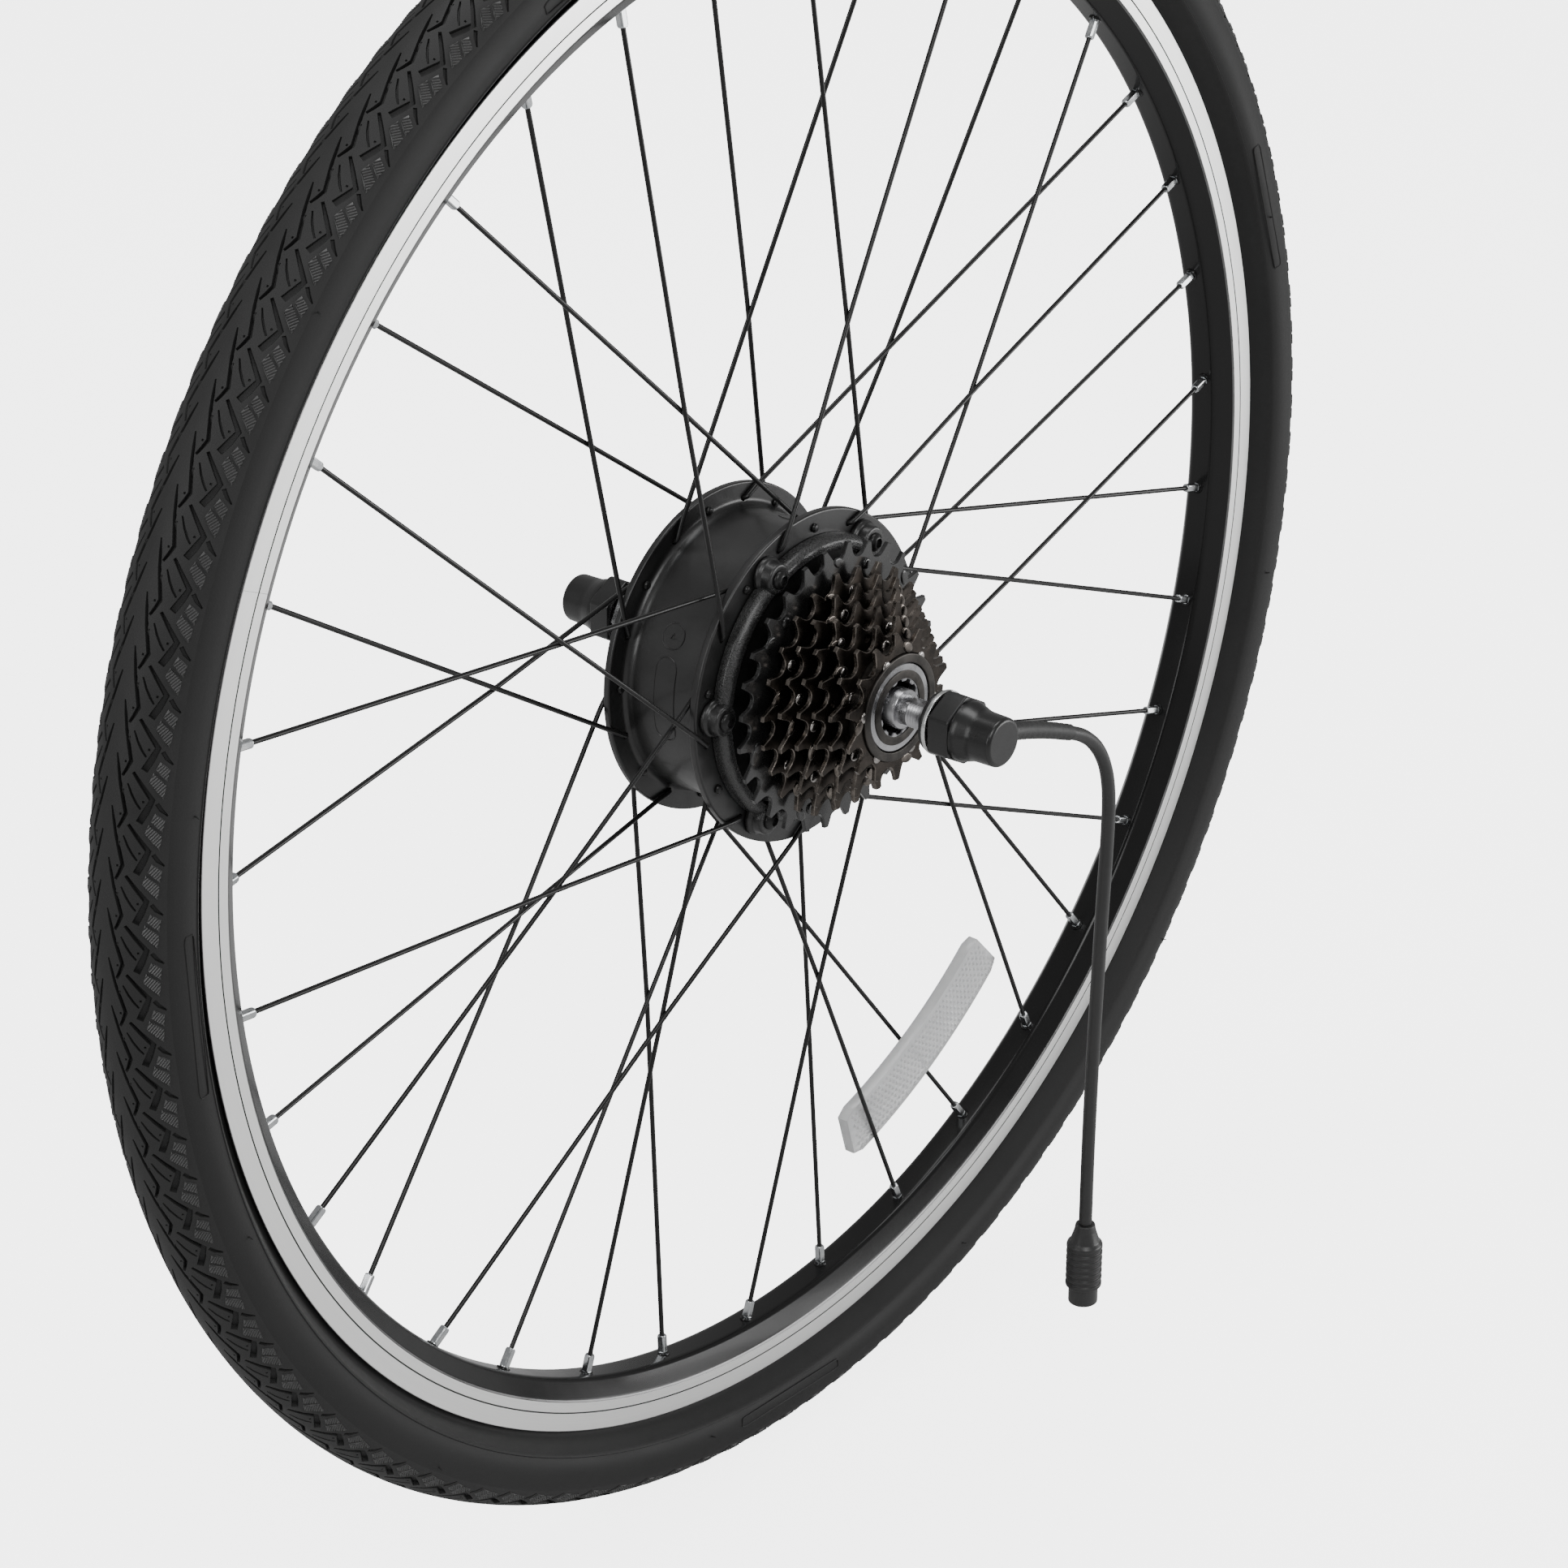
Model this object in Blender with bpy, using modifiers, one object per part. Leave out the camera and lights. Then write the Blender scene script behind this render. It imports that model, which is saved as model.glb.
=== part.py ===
"""Rear hub motor wheel of a 700C bicycle: a geared motor laced into a spoked wheel.

The axle lies along Y. The sprockets are on the -Y side, +X is the way the bicycle rides
and +Z is up. The origin is on the axle, in the rim's middle plane. Lengths are metres.
"""
import math

import bmesh
import bpy
from mathutils import Matrix, Vector

MM = 0.001
GAP = 0.3 * MM
OBJECT_NAME = "hub_motor_wheel"

# Tyre 40-622, its tube and its rim
RIM_BED_RADIUS = 296.5 * MM
RIM_STEPS = 48
TUBE_STEPS = 32
TUBE_MIDDLE = 331.4 * MM
TUBE_SECTION = 13 * MM
VALVE_ANGLE = 81.5
VALVE_RADIUS = 4 * MM
VALVE_ROOT = 323 * MM
VALVE_THREAD_END = 272 * MM
VALVE_CAP_START = 276 * MM
VALVE_CAP_END = 264 * MM
VALVE_CAP_RADIUS = 5 * MM

# Spokes: two flanges of 18 holes, each spoke crossing two others of its flange
SPOKES_PER_SIDE = 18
HOLE_PITCH = 360 / SPOKES_PER_SIDE
SPOKE_TWIST = 2 * HOLE_PITCH
PAIR_STEP = 3
SPOKE_RADIUS = 1 * MM
SPOKE_HOLE_RADIUS = 1.55 * MM
HEAD_FACTOR = 1.8
HEAD_HEIGHT = 1.4 * MM
NIPPLE_FACTOR = 1.95
NIPPLE_TIP_RADIUS = 288.6 * MM
NIPPLE_END_RADIUS = 300 * MM
NIPPLE_HOLE_RADIUS = 2.6 * MM
CROSSING_OFFSET = 0.6 * MM
FLANGE_CLEARANCE = 11 * MM

# Reflector, a bar bent round the wheel's centre
REFLECTOR_CIRCLE = 239.3 * MM
REFLECTOR_ANGLE = -65.4
REFLECTOR_HALF_WIDTH = 12 * MM
REFLECTOR_HALF_SWEEP = 13
REFLECTOR_TILT = 4.6
REFLECTOR_SPANS = 6
REFLECTOR_THICKNESS = 7 * MM
REFLECTOR_Y = 0.4 * MM

# Hub shell
HUB_STEPS = 30
DRIVE_FACE = -19 * MM
DRIVE_FLANGE_BACK = -15.5 * MM
LEFT_FLANGE_FACE = 25.5 * MM
LEFT_FACE = 28.5 * MM

# Side cover and its screws
SCREW_COUNT = 6
SCREW_CIRCLE = 58 * MM
SCREW_ANGLE = 56.8
EAR_RADIUS = 6.6 * MM
SCREW_RADIUS = 2 * MM

# Axle: M12 with flats, its shoulders 135 mm apart between the dropouts
AXLE_RADIUS = 6 * MM
AXLE_FLAT = 5 * MM
AXLE_STEPS = 18
DRIVE_CAP_BASE = -87 * MM
LEFT_CAP_BASE = 75 * MM
NUT_FLAT = 9 * MM
NUT_HEIGHT = 8 * MM

# Gears: module 2 mm; the planets stand still round the axle and drive the ring
MODULE = 2 * MM
SUN_TEETH = 12
PLANET_TEETH = 18
RING_TEETH = 48
PLANET_COUNT = 3
PLANET_ANGLE = 90
PLANET_CIRCLE = (SUN_TEETH + PLANET_TEETH) * MODULE / 2
ADDENDUM = 0.8 * MODULE
DEDENDUM = 1.1 * MODULE
ROOT_SHARE = 0.27
TIP_SHARE = 0.09
RING_GEAR_RADIUS = 52.9 * MM
GEAR_Y = -8.3 * MM
GEAR_WIDTH = 9.4 * MM

# Motor
SLOT_COUNT = 12
SLOT_PITCH = 360 / SLOT_COUNT
SLOT_MOUTH_HALF = 1.5
SLOT_TOP_HALF = 3.3
SLOT_FOOT_HALF = 5.4
STATOR_SEAT = 12 * MM

# Freewheel
CHAIN_PITCH = 12.7 * MM
SPROCKET_TEETH = (28, 24, 22, 20, 18, 16, 14)
SPROCKET_START = -33 * MM
SPROCKET_STEP = -5 * MM
SPROCKET_THICKNESS = 1.9 * MM
FREEWHEEL_RADIUS = 24 * MM
LAST_SEAT_RADIUS = 21.8 * MM

# Motor cable: out of the cap, through a sleeve, then hanging to its connector
SLEEVE_RADIUS = 3.7 * MM
CABLE_DIAMETER = 5.6 * MM
SLEEVE_ROUTE = ((10.4, -108, -1.0), (24, -108, -5.2), (38, -108, -10.4), (51.6, -108, -16.2))
CABLE_ROUTE = (
    (51.9, -108, -16.4),
    (59.5, -108, -20.2),
    (66.4, -108, -25.2),
    (72.2, -108, -31.6),
    (76.6, -108, -39.4),
    (79.3, -108, -48.4),
    (80.4, -108, -59),
    (80.2, -108, -74),
    (79.3, -108, -92),
    (78.2, -108, -112),
    (77.2, -108, -134),
    (76.5, -107.8, -157),
    (76.1, -107.5, -181),
    (76, -107.2, -205),
    (76, -107, -229),
    (76, -107, -252),
)
CABLE_POINTS_PER_SPAN = 2

BLACK_CAST = (0.012, 0.012, 0.013)
RUBBER = (0.012, 0.012, 0.012)
STEEL = (0.45, 0.45, 0.46)
DARK_STEEL = (0.05, 0.045, 0.04)


def clear_scene():
    for obj in list(bpy.data.objects):
        bpy.data.objects.remove(obj, do_unlink=True)


def new_collection(name):
    made = bpy.data.collections.new(name)
    bpy.context.scene.collection.children.link(made)
    return made


def paint(obj, colour, roughness, metallic=0.0):
    """Give an object its own Principled material."""
    material = bpy.data.materials.new(obj.name)
    material.use_nodes = True
    shader = material.node_tree.nodes["Principled BSDF"]
    shader.inputs["Base Color"].default_value = (*colour, 1)
    shader.inputs["Roughness"].default_value = roughness
    shader.inputs["Metallic"].default_value = metallic
    obj.data.materials.append(material)
    return obj


def place(obj, collection, hidden=False):
    collection.objects.link(obj)
    if hidden:
        obj.hide_render = True
        obj.display_type = "WIRE"
    return obj


def polar(radius, degrees, y=0.0):
    angle = math.radians(degrees)
    return Vector((radius * math.cos(angle), y, radius * math.sin(angle)))


def turned(name, outline, steps, collection, hidden=False, upright=False):
    """Turn a (radius, height) outline about the axle; it is open where it ends on the axis."""
    points = list(outline)
    closing = zip(points, points[1:] + points[:1])
    area = sum(r0 * h1 - r1 * h0 for (r0, h0), (r1, h1) in closing)
    if area > 0:
        points.reverse()
    closed = points[0][0] > 0 or points[-1][0] > 0
    edges = [(i, i + 1) for i in range(len(points) - 1)]
    if closed:
        edges.append((len(points) - 1, 0))
    mesh = bpy.data.meshes.new(name)
    mesh.from_pydata([(radius, 0, height) for radius, height in points], edges, [])
    obj = place(bpy.data.objects.new(name, mesh), collection, hidden)
    if not upright:
        obj.rotation_euler = (-math.pi / 2, 0, 0)
    screw = obj.modifiers.new("Turn", "SCREW")
    screw.steps = steps
    screw.render_steps = steps
    screw.use_merge_vertices = True
    screw.merge_threshold = 0.00001
    screw.use_smooth_shade = True
    return obj


def turned_mm(name, outline, steps, collection, hidden=False, upright=False):
    """Turn an outline given in millimetres."""
    points = [(radius * MM, height * MM) for radius, height in outline]
    return turned(name, points, steps, collection, hidden, upright)


def circle(radius, count, start=0.0):
    return [(p.x, p.z) for p in (polar(radius, start + 360 * i / count) for i in range(count))]


def bore(radius, count):
    """A polygon whose flats clear a round of this radius."""
    return circle(radius / math.cos(math.pi / count), count)


def plate(name, outlines, y_middle, thickness, collection, centre=(0.0, 0.0)):
    """A flat piece across the axle: closed (x, z) outlines, holes included."""
    curve = bpy.data.curves.new(name, "CURVE")
    curve.dimensions = "2D"
    curve.fill_mode = "BOTH"
    curve.extrude = thickness / 2
    for outline in outlines:
        spline = curve.splines.new("POLY")
        spline.points.add(len(outline) - 1)
        for point, (x, z) in zip(spline.points, outline):
            point.co = (x, -z, 0, 1)
        spline.use_cyclic_u = True
    obj = place(bpy.data.objects.new(name, curve), collection)
    obj.rotation_euler = (-math.pi / 2, 0, 0)
    obj.location = (centre[0], y_middle, centre[1])
    return obj


def rod(name, start, end, radius, sides, collection, hidden=False):
    """A straight cylinder between two points."""
    along = end - start
    mesh = bpy.data.meshes.new(name)
    shape = bmesh.new()
    bmesh.ops.create_cone(shape, cap_ends=True, segments=sides, radius1=radius, radius2=radius,
                          depth=along.length)
    shape.to_mesh(mesh)
    shape.free()
    obj = place(bpy.data.objects.new(name, mesh), collection, hidden)
    facing = along.to_track_quat("Z", "Y").to_matrix().to_4x4()
    obj.matrix_world = Matrix.Translation((start + end) / 2) @ facing
    return obj


def cross_rod(name, radius, degrees, span, thickness, sides, collection):
    """A hidden cylinder parallel to the axle, between two axial positions in millimetres."""
    low, high = span
    start, end = polar(radius, degrees, low * MM), polar(radius, degrees, high * MM)
    return rod(name, start, end, thickness, sides, collection, True)


def box(name, centre, size, turn, collection, hidden=False):
    """A block turned by some degrees about the axle line."""
    mesh = bpy.data.meshes.new(name)
    shape = bmesh.new()
    bmesh.ops.create_cube(shape, size=1)
    bmesh.ops.scale(shape, vec=size, verts=shape.verts)
    shape.to_mesh(mesh)
    shape.free()
    obj = place(bpy.data.objects.new(name, mesh), collection, hidden)
    obj.matrix_world = Matrix.Translation(centre) @ Matrix.Rotation(math.radians(-turn), 4, "Y")
    return obj


def combine(obj, operation, others):
    """Add a Boolean with every object of a collection of cutters."""
    boolean = obj.modifiers.new(operation.title(), "BOOLEAN")
    boolean.operation = operation
    boolean.solver = "EXACT"
    boolean.operand_type = "COLLECTION"
    boolean.collection = others
    return obj


def tube(name, points, radius, sides_resolution, collection, factors=None, hidden=False):
    """A round wire along points; factors widen it where a head or a nipple sits."""
    curve = bpy.data.curves.new(name, "CURVE")
    curve.dimensions = "3D"
    curve.bevel_depth = radius
    curve.bevel_resolution = sides_resolution
    curve.use_fill_caps = True
    spline = curve.splines.new("POLY")
    spline.points.add(len(points) - 1)
    for i, (point, place_at) in enumerate(zip(spline.points, points)):
        point.co = (*place_at, 1)
        point.radius = factors[i] if factors else 1
    return place(bpy.data.objects.new(name, curve), collection, hidden)


def as_mesh(obj, collection, hidden=False):
    """Replace a curve object with its welded mesh."""
    name = obj.name
    graph = bpy.context.evaluated_depsgraph_get()
    mesh = bpy.data.meshes.new_from_object(obj.evaluated_get(graph))
    shape = bmesh.new()
    shape.from_mesh(mesh)
    bmesh.ops.remove_doubles(shape, verts=shape.verts, dist=0.000001)
    shape.to_mesh(mesh)
    shape.free()
    matrix = obj.matrix_world.copy()
    bpy.data.objects.remove(obj, do_unlink=True)
    made = bpy.data.objects.new(name, mesh)
    made.matrix_world = matrix
    return place(made, collection, hidden)


def smooth_path(route, per_span):
    """Points of a Catmull-Rom curve through a route given in millimetres."""
    knots = [Vector(point) * MM for point in route]
    knots = [2 * knots[0] - knots[1], *knots, 2 * knots[-1] - knots[-2]]
    path = []
    for i in range(1, len(knots) - 2):
        before, here, there, after = knots[i - 1:i + 3]
        for step in range(per_span):
            t = step / per_span
            path.append(0.5 * (2 * here + (there - before) * t
                               + (2 * before - 5 * here + 4 * there - after) * t ** 2
                               + (3 * here - before - 3 * there + after) * t ** 3))
    path.append(knots[-2])
    return path


# ---------------------------------------------------------------- tyre and rim

def both_sides(half):
    """Millimetre outline of one half, from the middle plane out and back, with its mirror image."""
    side = [(radius * MM, y * MM) for radius, y in half]
    return side + [(radius, -y) for radius, y in reversed(side) if y > 0]


def make_tyre(parts):
    outer = [(351, 0), (347.6, 11), (342, 17.2), (335, 19.8), (317.5, 9.1), (311.4, 9.1), (311.4, 5.4)]
    inner = [(322, 11.5), (335, 16.2), (346, 7)]
    paint(turned("tyre", both_sides(outer + inner), RIM_STEPS, parts), RUBBER, 0.75)


def make_inner_tube(parts, cutters):
    section = [(TUBE_MIDDLE + x, y) for x, y in circle(TUBE_SECTION, 8)]
    ring = turned("inner_tube", section, TUBE_STEPS, parts)
    valve = cutters("valve_parts")
    root = polar(VALVE_ROOT, VALVE_ANGLE)
    thread_end = polar(VALVE_THREAD_END, VALVE_ANGLE)
    cap_start = polar(VALVE_CAP_START, VALVE_ANGLE)
    cap_end = polar(VALVE_CAP_END, VALVE_ANGLE)
    rod("valve_stem", root, thread_end, VALVE_RADIUS, 8, valve, True)
    rod("valve_cap", cap_start, cap_end, VALVE_CAP_RADIUS, 8, valve, True)
    combine(ring, "UNION", valve)
    paint(ring, RUBBER, 0.6)


def make_rim(parts, cutters):
    half = [(296.5, 6.8), (304.8, 11.4), (317, 11.4), (317, 9.8), (311, 9.5), (311, 8), (307.4, 5.2)]
    rim = turned("rim", both_sides(half), RIM_STEPS, parts)
    hollow = cutters("rim_hollow")
    turned("hollow", both_sides([(298, 6), (305.8, 9.6)]), RIM_STEPS, hollow, True)
    for spoke in all_spokes():
        base, direction = spoke["rim"], spoke["direction"]
        rod(f"nipple_hole_{spoke['name']}", base - 5 * MM * direction, base + 4 * MM * direction,
            NIPPLE_HOLE_RADIUS, 5, hollow, True)
    inside, outside = polar(290 * MM, VALVE_ANGLE), polar(312 * MM, VALVE_ANGLE)
    rod("valve_hole", inside, outside, VALVE_RADIUS + 2 * GAP, 8, hollow, True)
    combine(rim, "DIFFERENCE", hollow)
    paint(rim, (0.02, 0.02, 0.02), 0.3, 0.6)


# ---------------------------------------------------------------- spokes

SIDES = {
    "drive": {"hub_phase": 7.2, "rim_phase": 6.5, "hole_circle": 62 * MM, "rim_y": -1.06 * MM,
              "outer_face": DRIVE_FACE, "inner_face": DRIVE_FLANGE_BACK, "out": -1, "outer_parity": 1},
    "left": {"hub_phase": 17.2, "rim_phase": 16.5, "hole_circle": 61 * MM, "rim_y": 1.06 * MM,
             "outer_face": LEFT_FACE, "inner_face": LEFT_FLANGE_FACE, "out": 1, "outer_parity": 0},
}


def spoke_ends(side_name, index):
    """Where one spoke leaves its flange and meets the rim."""
    side = SIDES[side_name]
    twist = SPOKE_TWIST if index % 2 == 0 else -SPOKE_TWIST
    hub_angle = side["hub_phase"] + HOLE_PITCH * index
    outside = index % 2 == side["outer_parity"]
    out = side["out"] if outside else -side["out"]
    leave = side["outer_face"] if outside else side["inner_face"]
    opposite = side["inner_face"] if outside else side["outer_face"]
    start = polar(side["hole_circle"], hub_angle, leave + out * (SPOKE_RADIUS + GAP))
    end = polar(RIM_BED_RADIUS, side["rim_phase"] + HOLE_PITCH * index + twist, side["rim_y"])
    return {"name": f"{side_name}_{index}", "hub": start, "rim": end, "direction": (end - start).normalized(),
            "out": out, "opposite": opposite, "leave": leave, "outside": outside}


def all_spokes():
    return [spoke_ends(side, index) for side in SIDES for index in range(SPOKES_PER_SIDE)]


def crossing(first, second):
    """The shares of two spokes' lengths at which they cross, seen along the axle."""
    a, b = first["hub"], first["rim"] - first["hub"]
    c, d = second["hub"], second["rim"] - second["hub"]
    scale = b.x * d.z - b.z * d.x
    gap = c - a
    return (gap.x * d.z - gap.z * d.x) / scale, (gap.x * b.z - gap.z * b.x) / scale


def spoke_wire(spoke, share, crossing_y, collection, hidden):
    """One spoke with its head, elbow and nipple."""
    hub, rim, direction = spoke["hub"], spoke["rim"], spoke["direction"]
    head = Vector((hub.x, spoke["opposite"] - spoke["out"] * GAP, hub.z))
    head_end = head - Vector((0, spoke["out"] * HEAD_HEIGHT, 0))
    neck = head + Vector((0, spoke["out"] * GAP / 2, 0))
    elbow = Vector((hub.x, spoke["leave"] + spoke["out"] * SPOKE_RADIUS / 2, hub.z))
    flat = Vector((direction.x, 0, direction.z)).normalized()
    bend = hub + flat * 1.7 * SPOKE_RADIUS
    clear = hub + flat * FLANGE_CLEARANCE
    cross = hub + share * (rim - hub)
    cross.y = crossing_y
    last = (rim - cross).normalized()
    tip = rim - last * (RIM_BED_RADIUS - NIPPLE_TIP_RADIUS)
    end = rim + last * (NIPPLE_END_RADIUS - RIM_BED_RADIUS)
    points = [head_end, head, neck, elbow, bend, clear, cross, tip - last * GAP, tip, end]
    factors = [HEAD_FACTOR, HEAD_FACTOR, 1, 1, 1, 1, 1, 1, NIPPLE_FACTOR, NIPPLE_FACTOR]
    wire = tube(f"spoke_{spoke['name']}", points, SPOKE_RADIUS, 0, collection, factors, hidden)
    return as_mesh(wire, collection, hidden)


def make_spokes(parts, cutters):
    """Spokes in pairs that touch where they cross last, as laced wheels have them."""
    number = 0
    for side_name in SIDES:
        for index in range(0, SPOKES_PER_SIDE, 2):
            number += 1
            first = spoke_ends(side_name, index)
            second = spoke_ends(side_name, (index + PAIR_STEP) % SPOKES_PER_SIDE)
            share_1, share_2 = crossing(first, second)
            y_1 = first["hub"].y + share_1 * (first["rim"].y - first["hub"].y)
            y_2 = second["hub"].y + share_2 * (second["rim"].y - second["hub"].y)
            middle = (y_1 + y_2) / 2
            offset = math.copysign(CROSSING_OFFSET, y_2 - y_1)
            body = spoke_wire(first, share_1, middle + offset, parts, False)
            body.name = f"spoke_pair_{number:02d}"
            partner = cutters(f"pair_{number:02d}")
            spoke_wire(second, share_2, middle - offset, partner, True)
            combine(body, "UNION", partner)
            paint(body, (0.02, 0.02, 0.02), 0.35, 0.8)


def make_reflector(parts):
    """A clear bar clipped among the spokes, bent round the wheel's centre."""
    centre = polar(REFLECTOR_CIRCLE, REFLECTOR_ANGLE)
    sweep = [REFLECTOR_HALF_SWEEP * (2 * i / REFLECTOR_SPANS - 1) for i in range(REFLECTOR_SPANS + 1)]
    near = [polar(REFLECTOR_CIRCLE - REFLECTOR_HALF_WIDTH, REFLECTOR_ANGLE + a) for a in sweep]
    far = [polar(REFLECTOR_CIRCLE + REFLECTOR_HALF_WIDTH, REFLECTOR_ANGLE + a) for a in reversed(sweep)]
    turn = Matrix.Rotation(math.radians(-REFLECTOR_TILT), 4, "Y")
    outline = [turn @ (point - centre) for point in near + far]
    bar = plate("spoke_reflector", [[(p.x, p.z) for p in outline]], REFLECTOR_Y, REFLECTOR_THICKNESS, parts,
                (centre.x, centre.z))
    paint(bar, (0.85, 0.86, 0.86), 0.15)


# ---------------------------------------------------------------- hub

def make_hub_shell(parts, cutters):
    outline = [(53.3, -19), (68, -19), (68, -15.5), (60, -15.5), (57.4, -11), (57.9, 23), (58.8, 25.5),
               (67.6, 25.5), (67.6, 28.5), (58.4, 28.5), (46, 36), (24, 40.4), (19, 46), (14.3, 46),
               (14.3, 38), (11, 38), (11, 37), (44, 33.2), (53.3, 27)]
    shell = turned_mm("hub_shell", outline, HUB_STEPS, parts)
    holes = cutters("hub_shell_holes")
    for spoke in all_spokes():
        flange = Vector((0, spoke["leave"] - spoke["opposite"], 0)).normalized()
        leave = Vector((spoke["hub"].x, spoke["leave"], spoke["hub"].z))
        opposite = Vector((spoke["hub"].x, spoke["opposite"], spoke["hub"].z))
        start = opposite - flange * MM
        end = leave + flange * MM
        rod(f"hole_{spoke['name']}", start, end, SPOKE_HOLE_RADIUS, 5, holes, True)
    for i in range(SCREW_COUNT):
        angle = SCREW_ANGLE + 60 * i
        cross_rod(f"screw_hole_{i}", SCREW_CIRCLE, angle, (-20, -13.5), SCREW_RADIUS + GAP, 6, holes)
    combine(shell, "DIFFERENCE", holes)
    paint(shell, BLACK_CAST, 0.45, 0.3)


def make_cover(parts, cutters):
    outline = [(17.2, -39.5), (17.2, -27), (24, -26), (27, -22.6), (53, -22), (54, -25.4), (58.2, -25.1),
               (58.2, -19.3), (52.8, -19.3), (52.8, -14.6), (50, -14.6), (50, -18.8), (22, -20), (20, -24),
               (14.3, -24), (14.3, -33.2), (8.6, -33.2), (8.6, -39.5)]
    cover = turned_mm("drive_side_cover", outline, HUB_STEPS, parts)
    ears = cutters("cover_ears")
    holes = cutters("cover_holes")
    for i in range(SCREW_COUNT):
        angle = SCREW_ANGLE + 60 * i
        cross_rod(f"ear_{i}", SCREW_CIRCLE, angle, (-26, -19.5), EAR_RADIUS, 12, ears)
        cross_rod(f"hole_{i}", SCREW_CIRCLE, angle, (-30, -10), SCREW_RADIUS + GAP, 6, holes)
    combine(cover, "UNION", ears)
    combine(cover, "DIFFERENCE", holes)
    paint(cover, BLACK_CAST, 0.5, 0.3)
    profile = [(0, -28.6), (2.8, -28.6), (3.9, -27.9), (3.9, -26.3), (2, -26.3), (2, -14), (0, -14)]
    for i in range(SCREW_COUNT):
        screw = turned_mm(f"cover_screw_{i + 1}", profile, 8, parts)
        screw.location = polar(SCREW_CIRCLE, SCREW_ANGLE + 60 * i)
        paint(screw, (0.03, 0.03, 0.03), 0.35, 0.8)


def ring_outline(inner, outer, low, high):
    return [(inner, low), (outer, low), (outer, high), (inner, high)]


def make_bearings(parts):
    for name, low, high in (("left_bearing", 38.3, 45.7), ("drive_bearing", -32.9, -24.3)):
        paint(turned_mm(name, ring_outline(6.3, 14, low, high), 16, parts), STEEL, 0.25, 1.0)


# ---------------------------------------------------------------- gears and motor

def gear_outline(teeth, root, tip, phase):
    """Four points a tooth; the first tooth's middle is at the phase angle."""
    points = []
    for i in range(teeth):
        for radius, share in ((root, -ROOT_SHARE), (tip, -TIP_SHARE), (tip, TIP_SHARE), (root, ROOT_SHARE)):
            at = polar(radius, phase + 360 * (i + share) / teeth)
            points.append((at.x, at.z))
    return points


def make_gears(parts, cutters):
    sun_pitch = SUN_TEETH * MODULE / 2
    planet_pitch = PLANET_TEETH * MODULE / 2
    ring_pitch = RING_TEETH * MODULE / 2
    half_ring_tooth = 180 / RING_TEETH
    half_sun_tooth = 180 / SUN_TEETH
    phase = PLANET_ANGLE + half_ring_tooth
    ring = gear_outline(RING_TEETH, ring_pitch + DEDENDUM, ring_pitch - ADDENDUM, phase)
    ring_gear = plate("ring_gear", [ring, circle(RING_GEAR_RADIUS, 32)], GEAR_Y, GEAR_WIDTH, parts)
    paint(ring_gear, STEEL, 0.35, 1.0)
    sun = gear_outline(SUN_TEETH, sun_pitch - DEDENDUM, sun_pitch + ADDENDUM, PLANET_ANGLE + half_sun_tooth)
    paint(plate("sun_gear", [sun, bore(8.3 * MM, 16)], GEAR_Y, GEAR_WIDTH, parts), STEEL, 0.3, 1.0)
    for i in range(PLANET_COUNT):
        angle = PLANET_ANGLE + 360 * i / PLANET_COUNT
        centre = polar(PLANET_CIRCLE, angle)
        teeth = gear_outline(PLANET_TEETH, planet_pitch - DEDENDUM, planet_pitch + ADDENDUM, angle)
        gear = plate(f"planet_gear_{i + 1}", [teeth, bore(4.2 * MM, 12)], GEAR_Y, GEAR_WIDTH, parts,
                     (centre.x, centre.z))
        paint(gear, (0.75, 0.74, 0.68), 0.5)
    carrier = turned_mm("planet_carrier", ring_outline(11.3, 35, -18.2, -14), 24, parts)
    pins = cutters("carrier_pins")
    for i in range(PLANET_COUNT):
        angle = PLANET_ANGLE + 360 * i / PLANET_COUNT
        cross_rod(f"pin_{i}", PLANET_CIRCLE, angle, (-16, -4), 3.9 * MM, 10, pins)
    combine(carrier, "UNION", pins)
    paint(carrier, STEEL, 0.4, 1.0)
    clutch = turned_mm("one_way_clutch", ring_outline(6.3, 11, -18.2, -14), 16, parts)
    paint(clutch, STEEL, 0.25, 1.0)


def stator_outline():
    """Teeth with wide tips; each slot narrows to a mouth at the air gap."""
    profile = ((44.6, SLOT_MOUTH_HALF), (42.5, SLOT_MOUTH_HALF), (42.5, SLOT_TOP_HALF), (26, SLOT_FOOT_HALF))
    points = []
    for i in range(SLOT_COUNT):
        middle = (i + 0.5) * SLOT_PITCH
        points += [polar(radius * MM, middle - half) for radius, half in profile]
        points += [polar(radius * MM, middle + half) for radius, half in reversed(profile)]
    return [(p.x, p.z) for p in points]


def make_motor(parts, cutters):
    core = plate("stator_core", [stator_outline(), bore(STATOR_SEAT + GAP, 20)], 15.25 * MM, 18.5 * MM, parts)
    paint(core, (0.35, 0.35, 0.37), 0.4, 0.9)
    winding = turned_mm("stator_winding", ring_outline(25, 42, 24.8, 28), 24, parts)
    coils = cutters("winding_coils")
    turned_mm("near_coils", ring_outline(25, 42, 2.2, 5.6), 24, coils, True)
    for i in range(SLOT_COUNT):
        angle = (i + 0.5) * SLOT_PITCH
        box(f"bar_{i}", polar(34.5 * MM, angle, 15 * MM), (14 * MM, 22 * MM, 3.6 * MM), angle, coils, True)
    combine(winding, "UNION", coils)
    paint(winding, (0.45, 0.16, 0.05), 0.35, 0.9)
    outline = [(6.5, -13), (8, -13), (8, -2.6), (50, -2.6), (51.5, -1.2), (51.5, 27), (45, 27), (45, 1),
               (8, 1), (8, 3.6), (6.5, 3.6)]
    paint(turned_mm("rotor_bell", outline, 24, parts), STEEL, 0.35, 1.0)


# ---------------------------------------------------------------- axle

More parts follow.
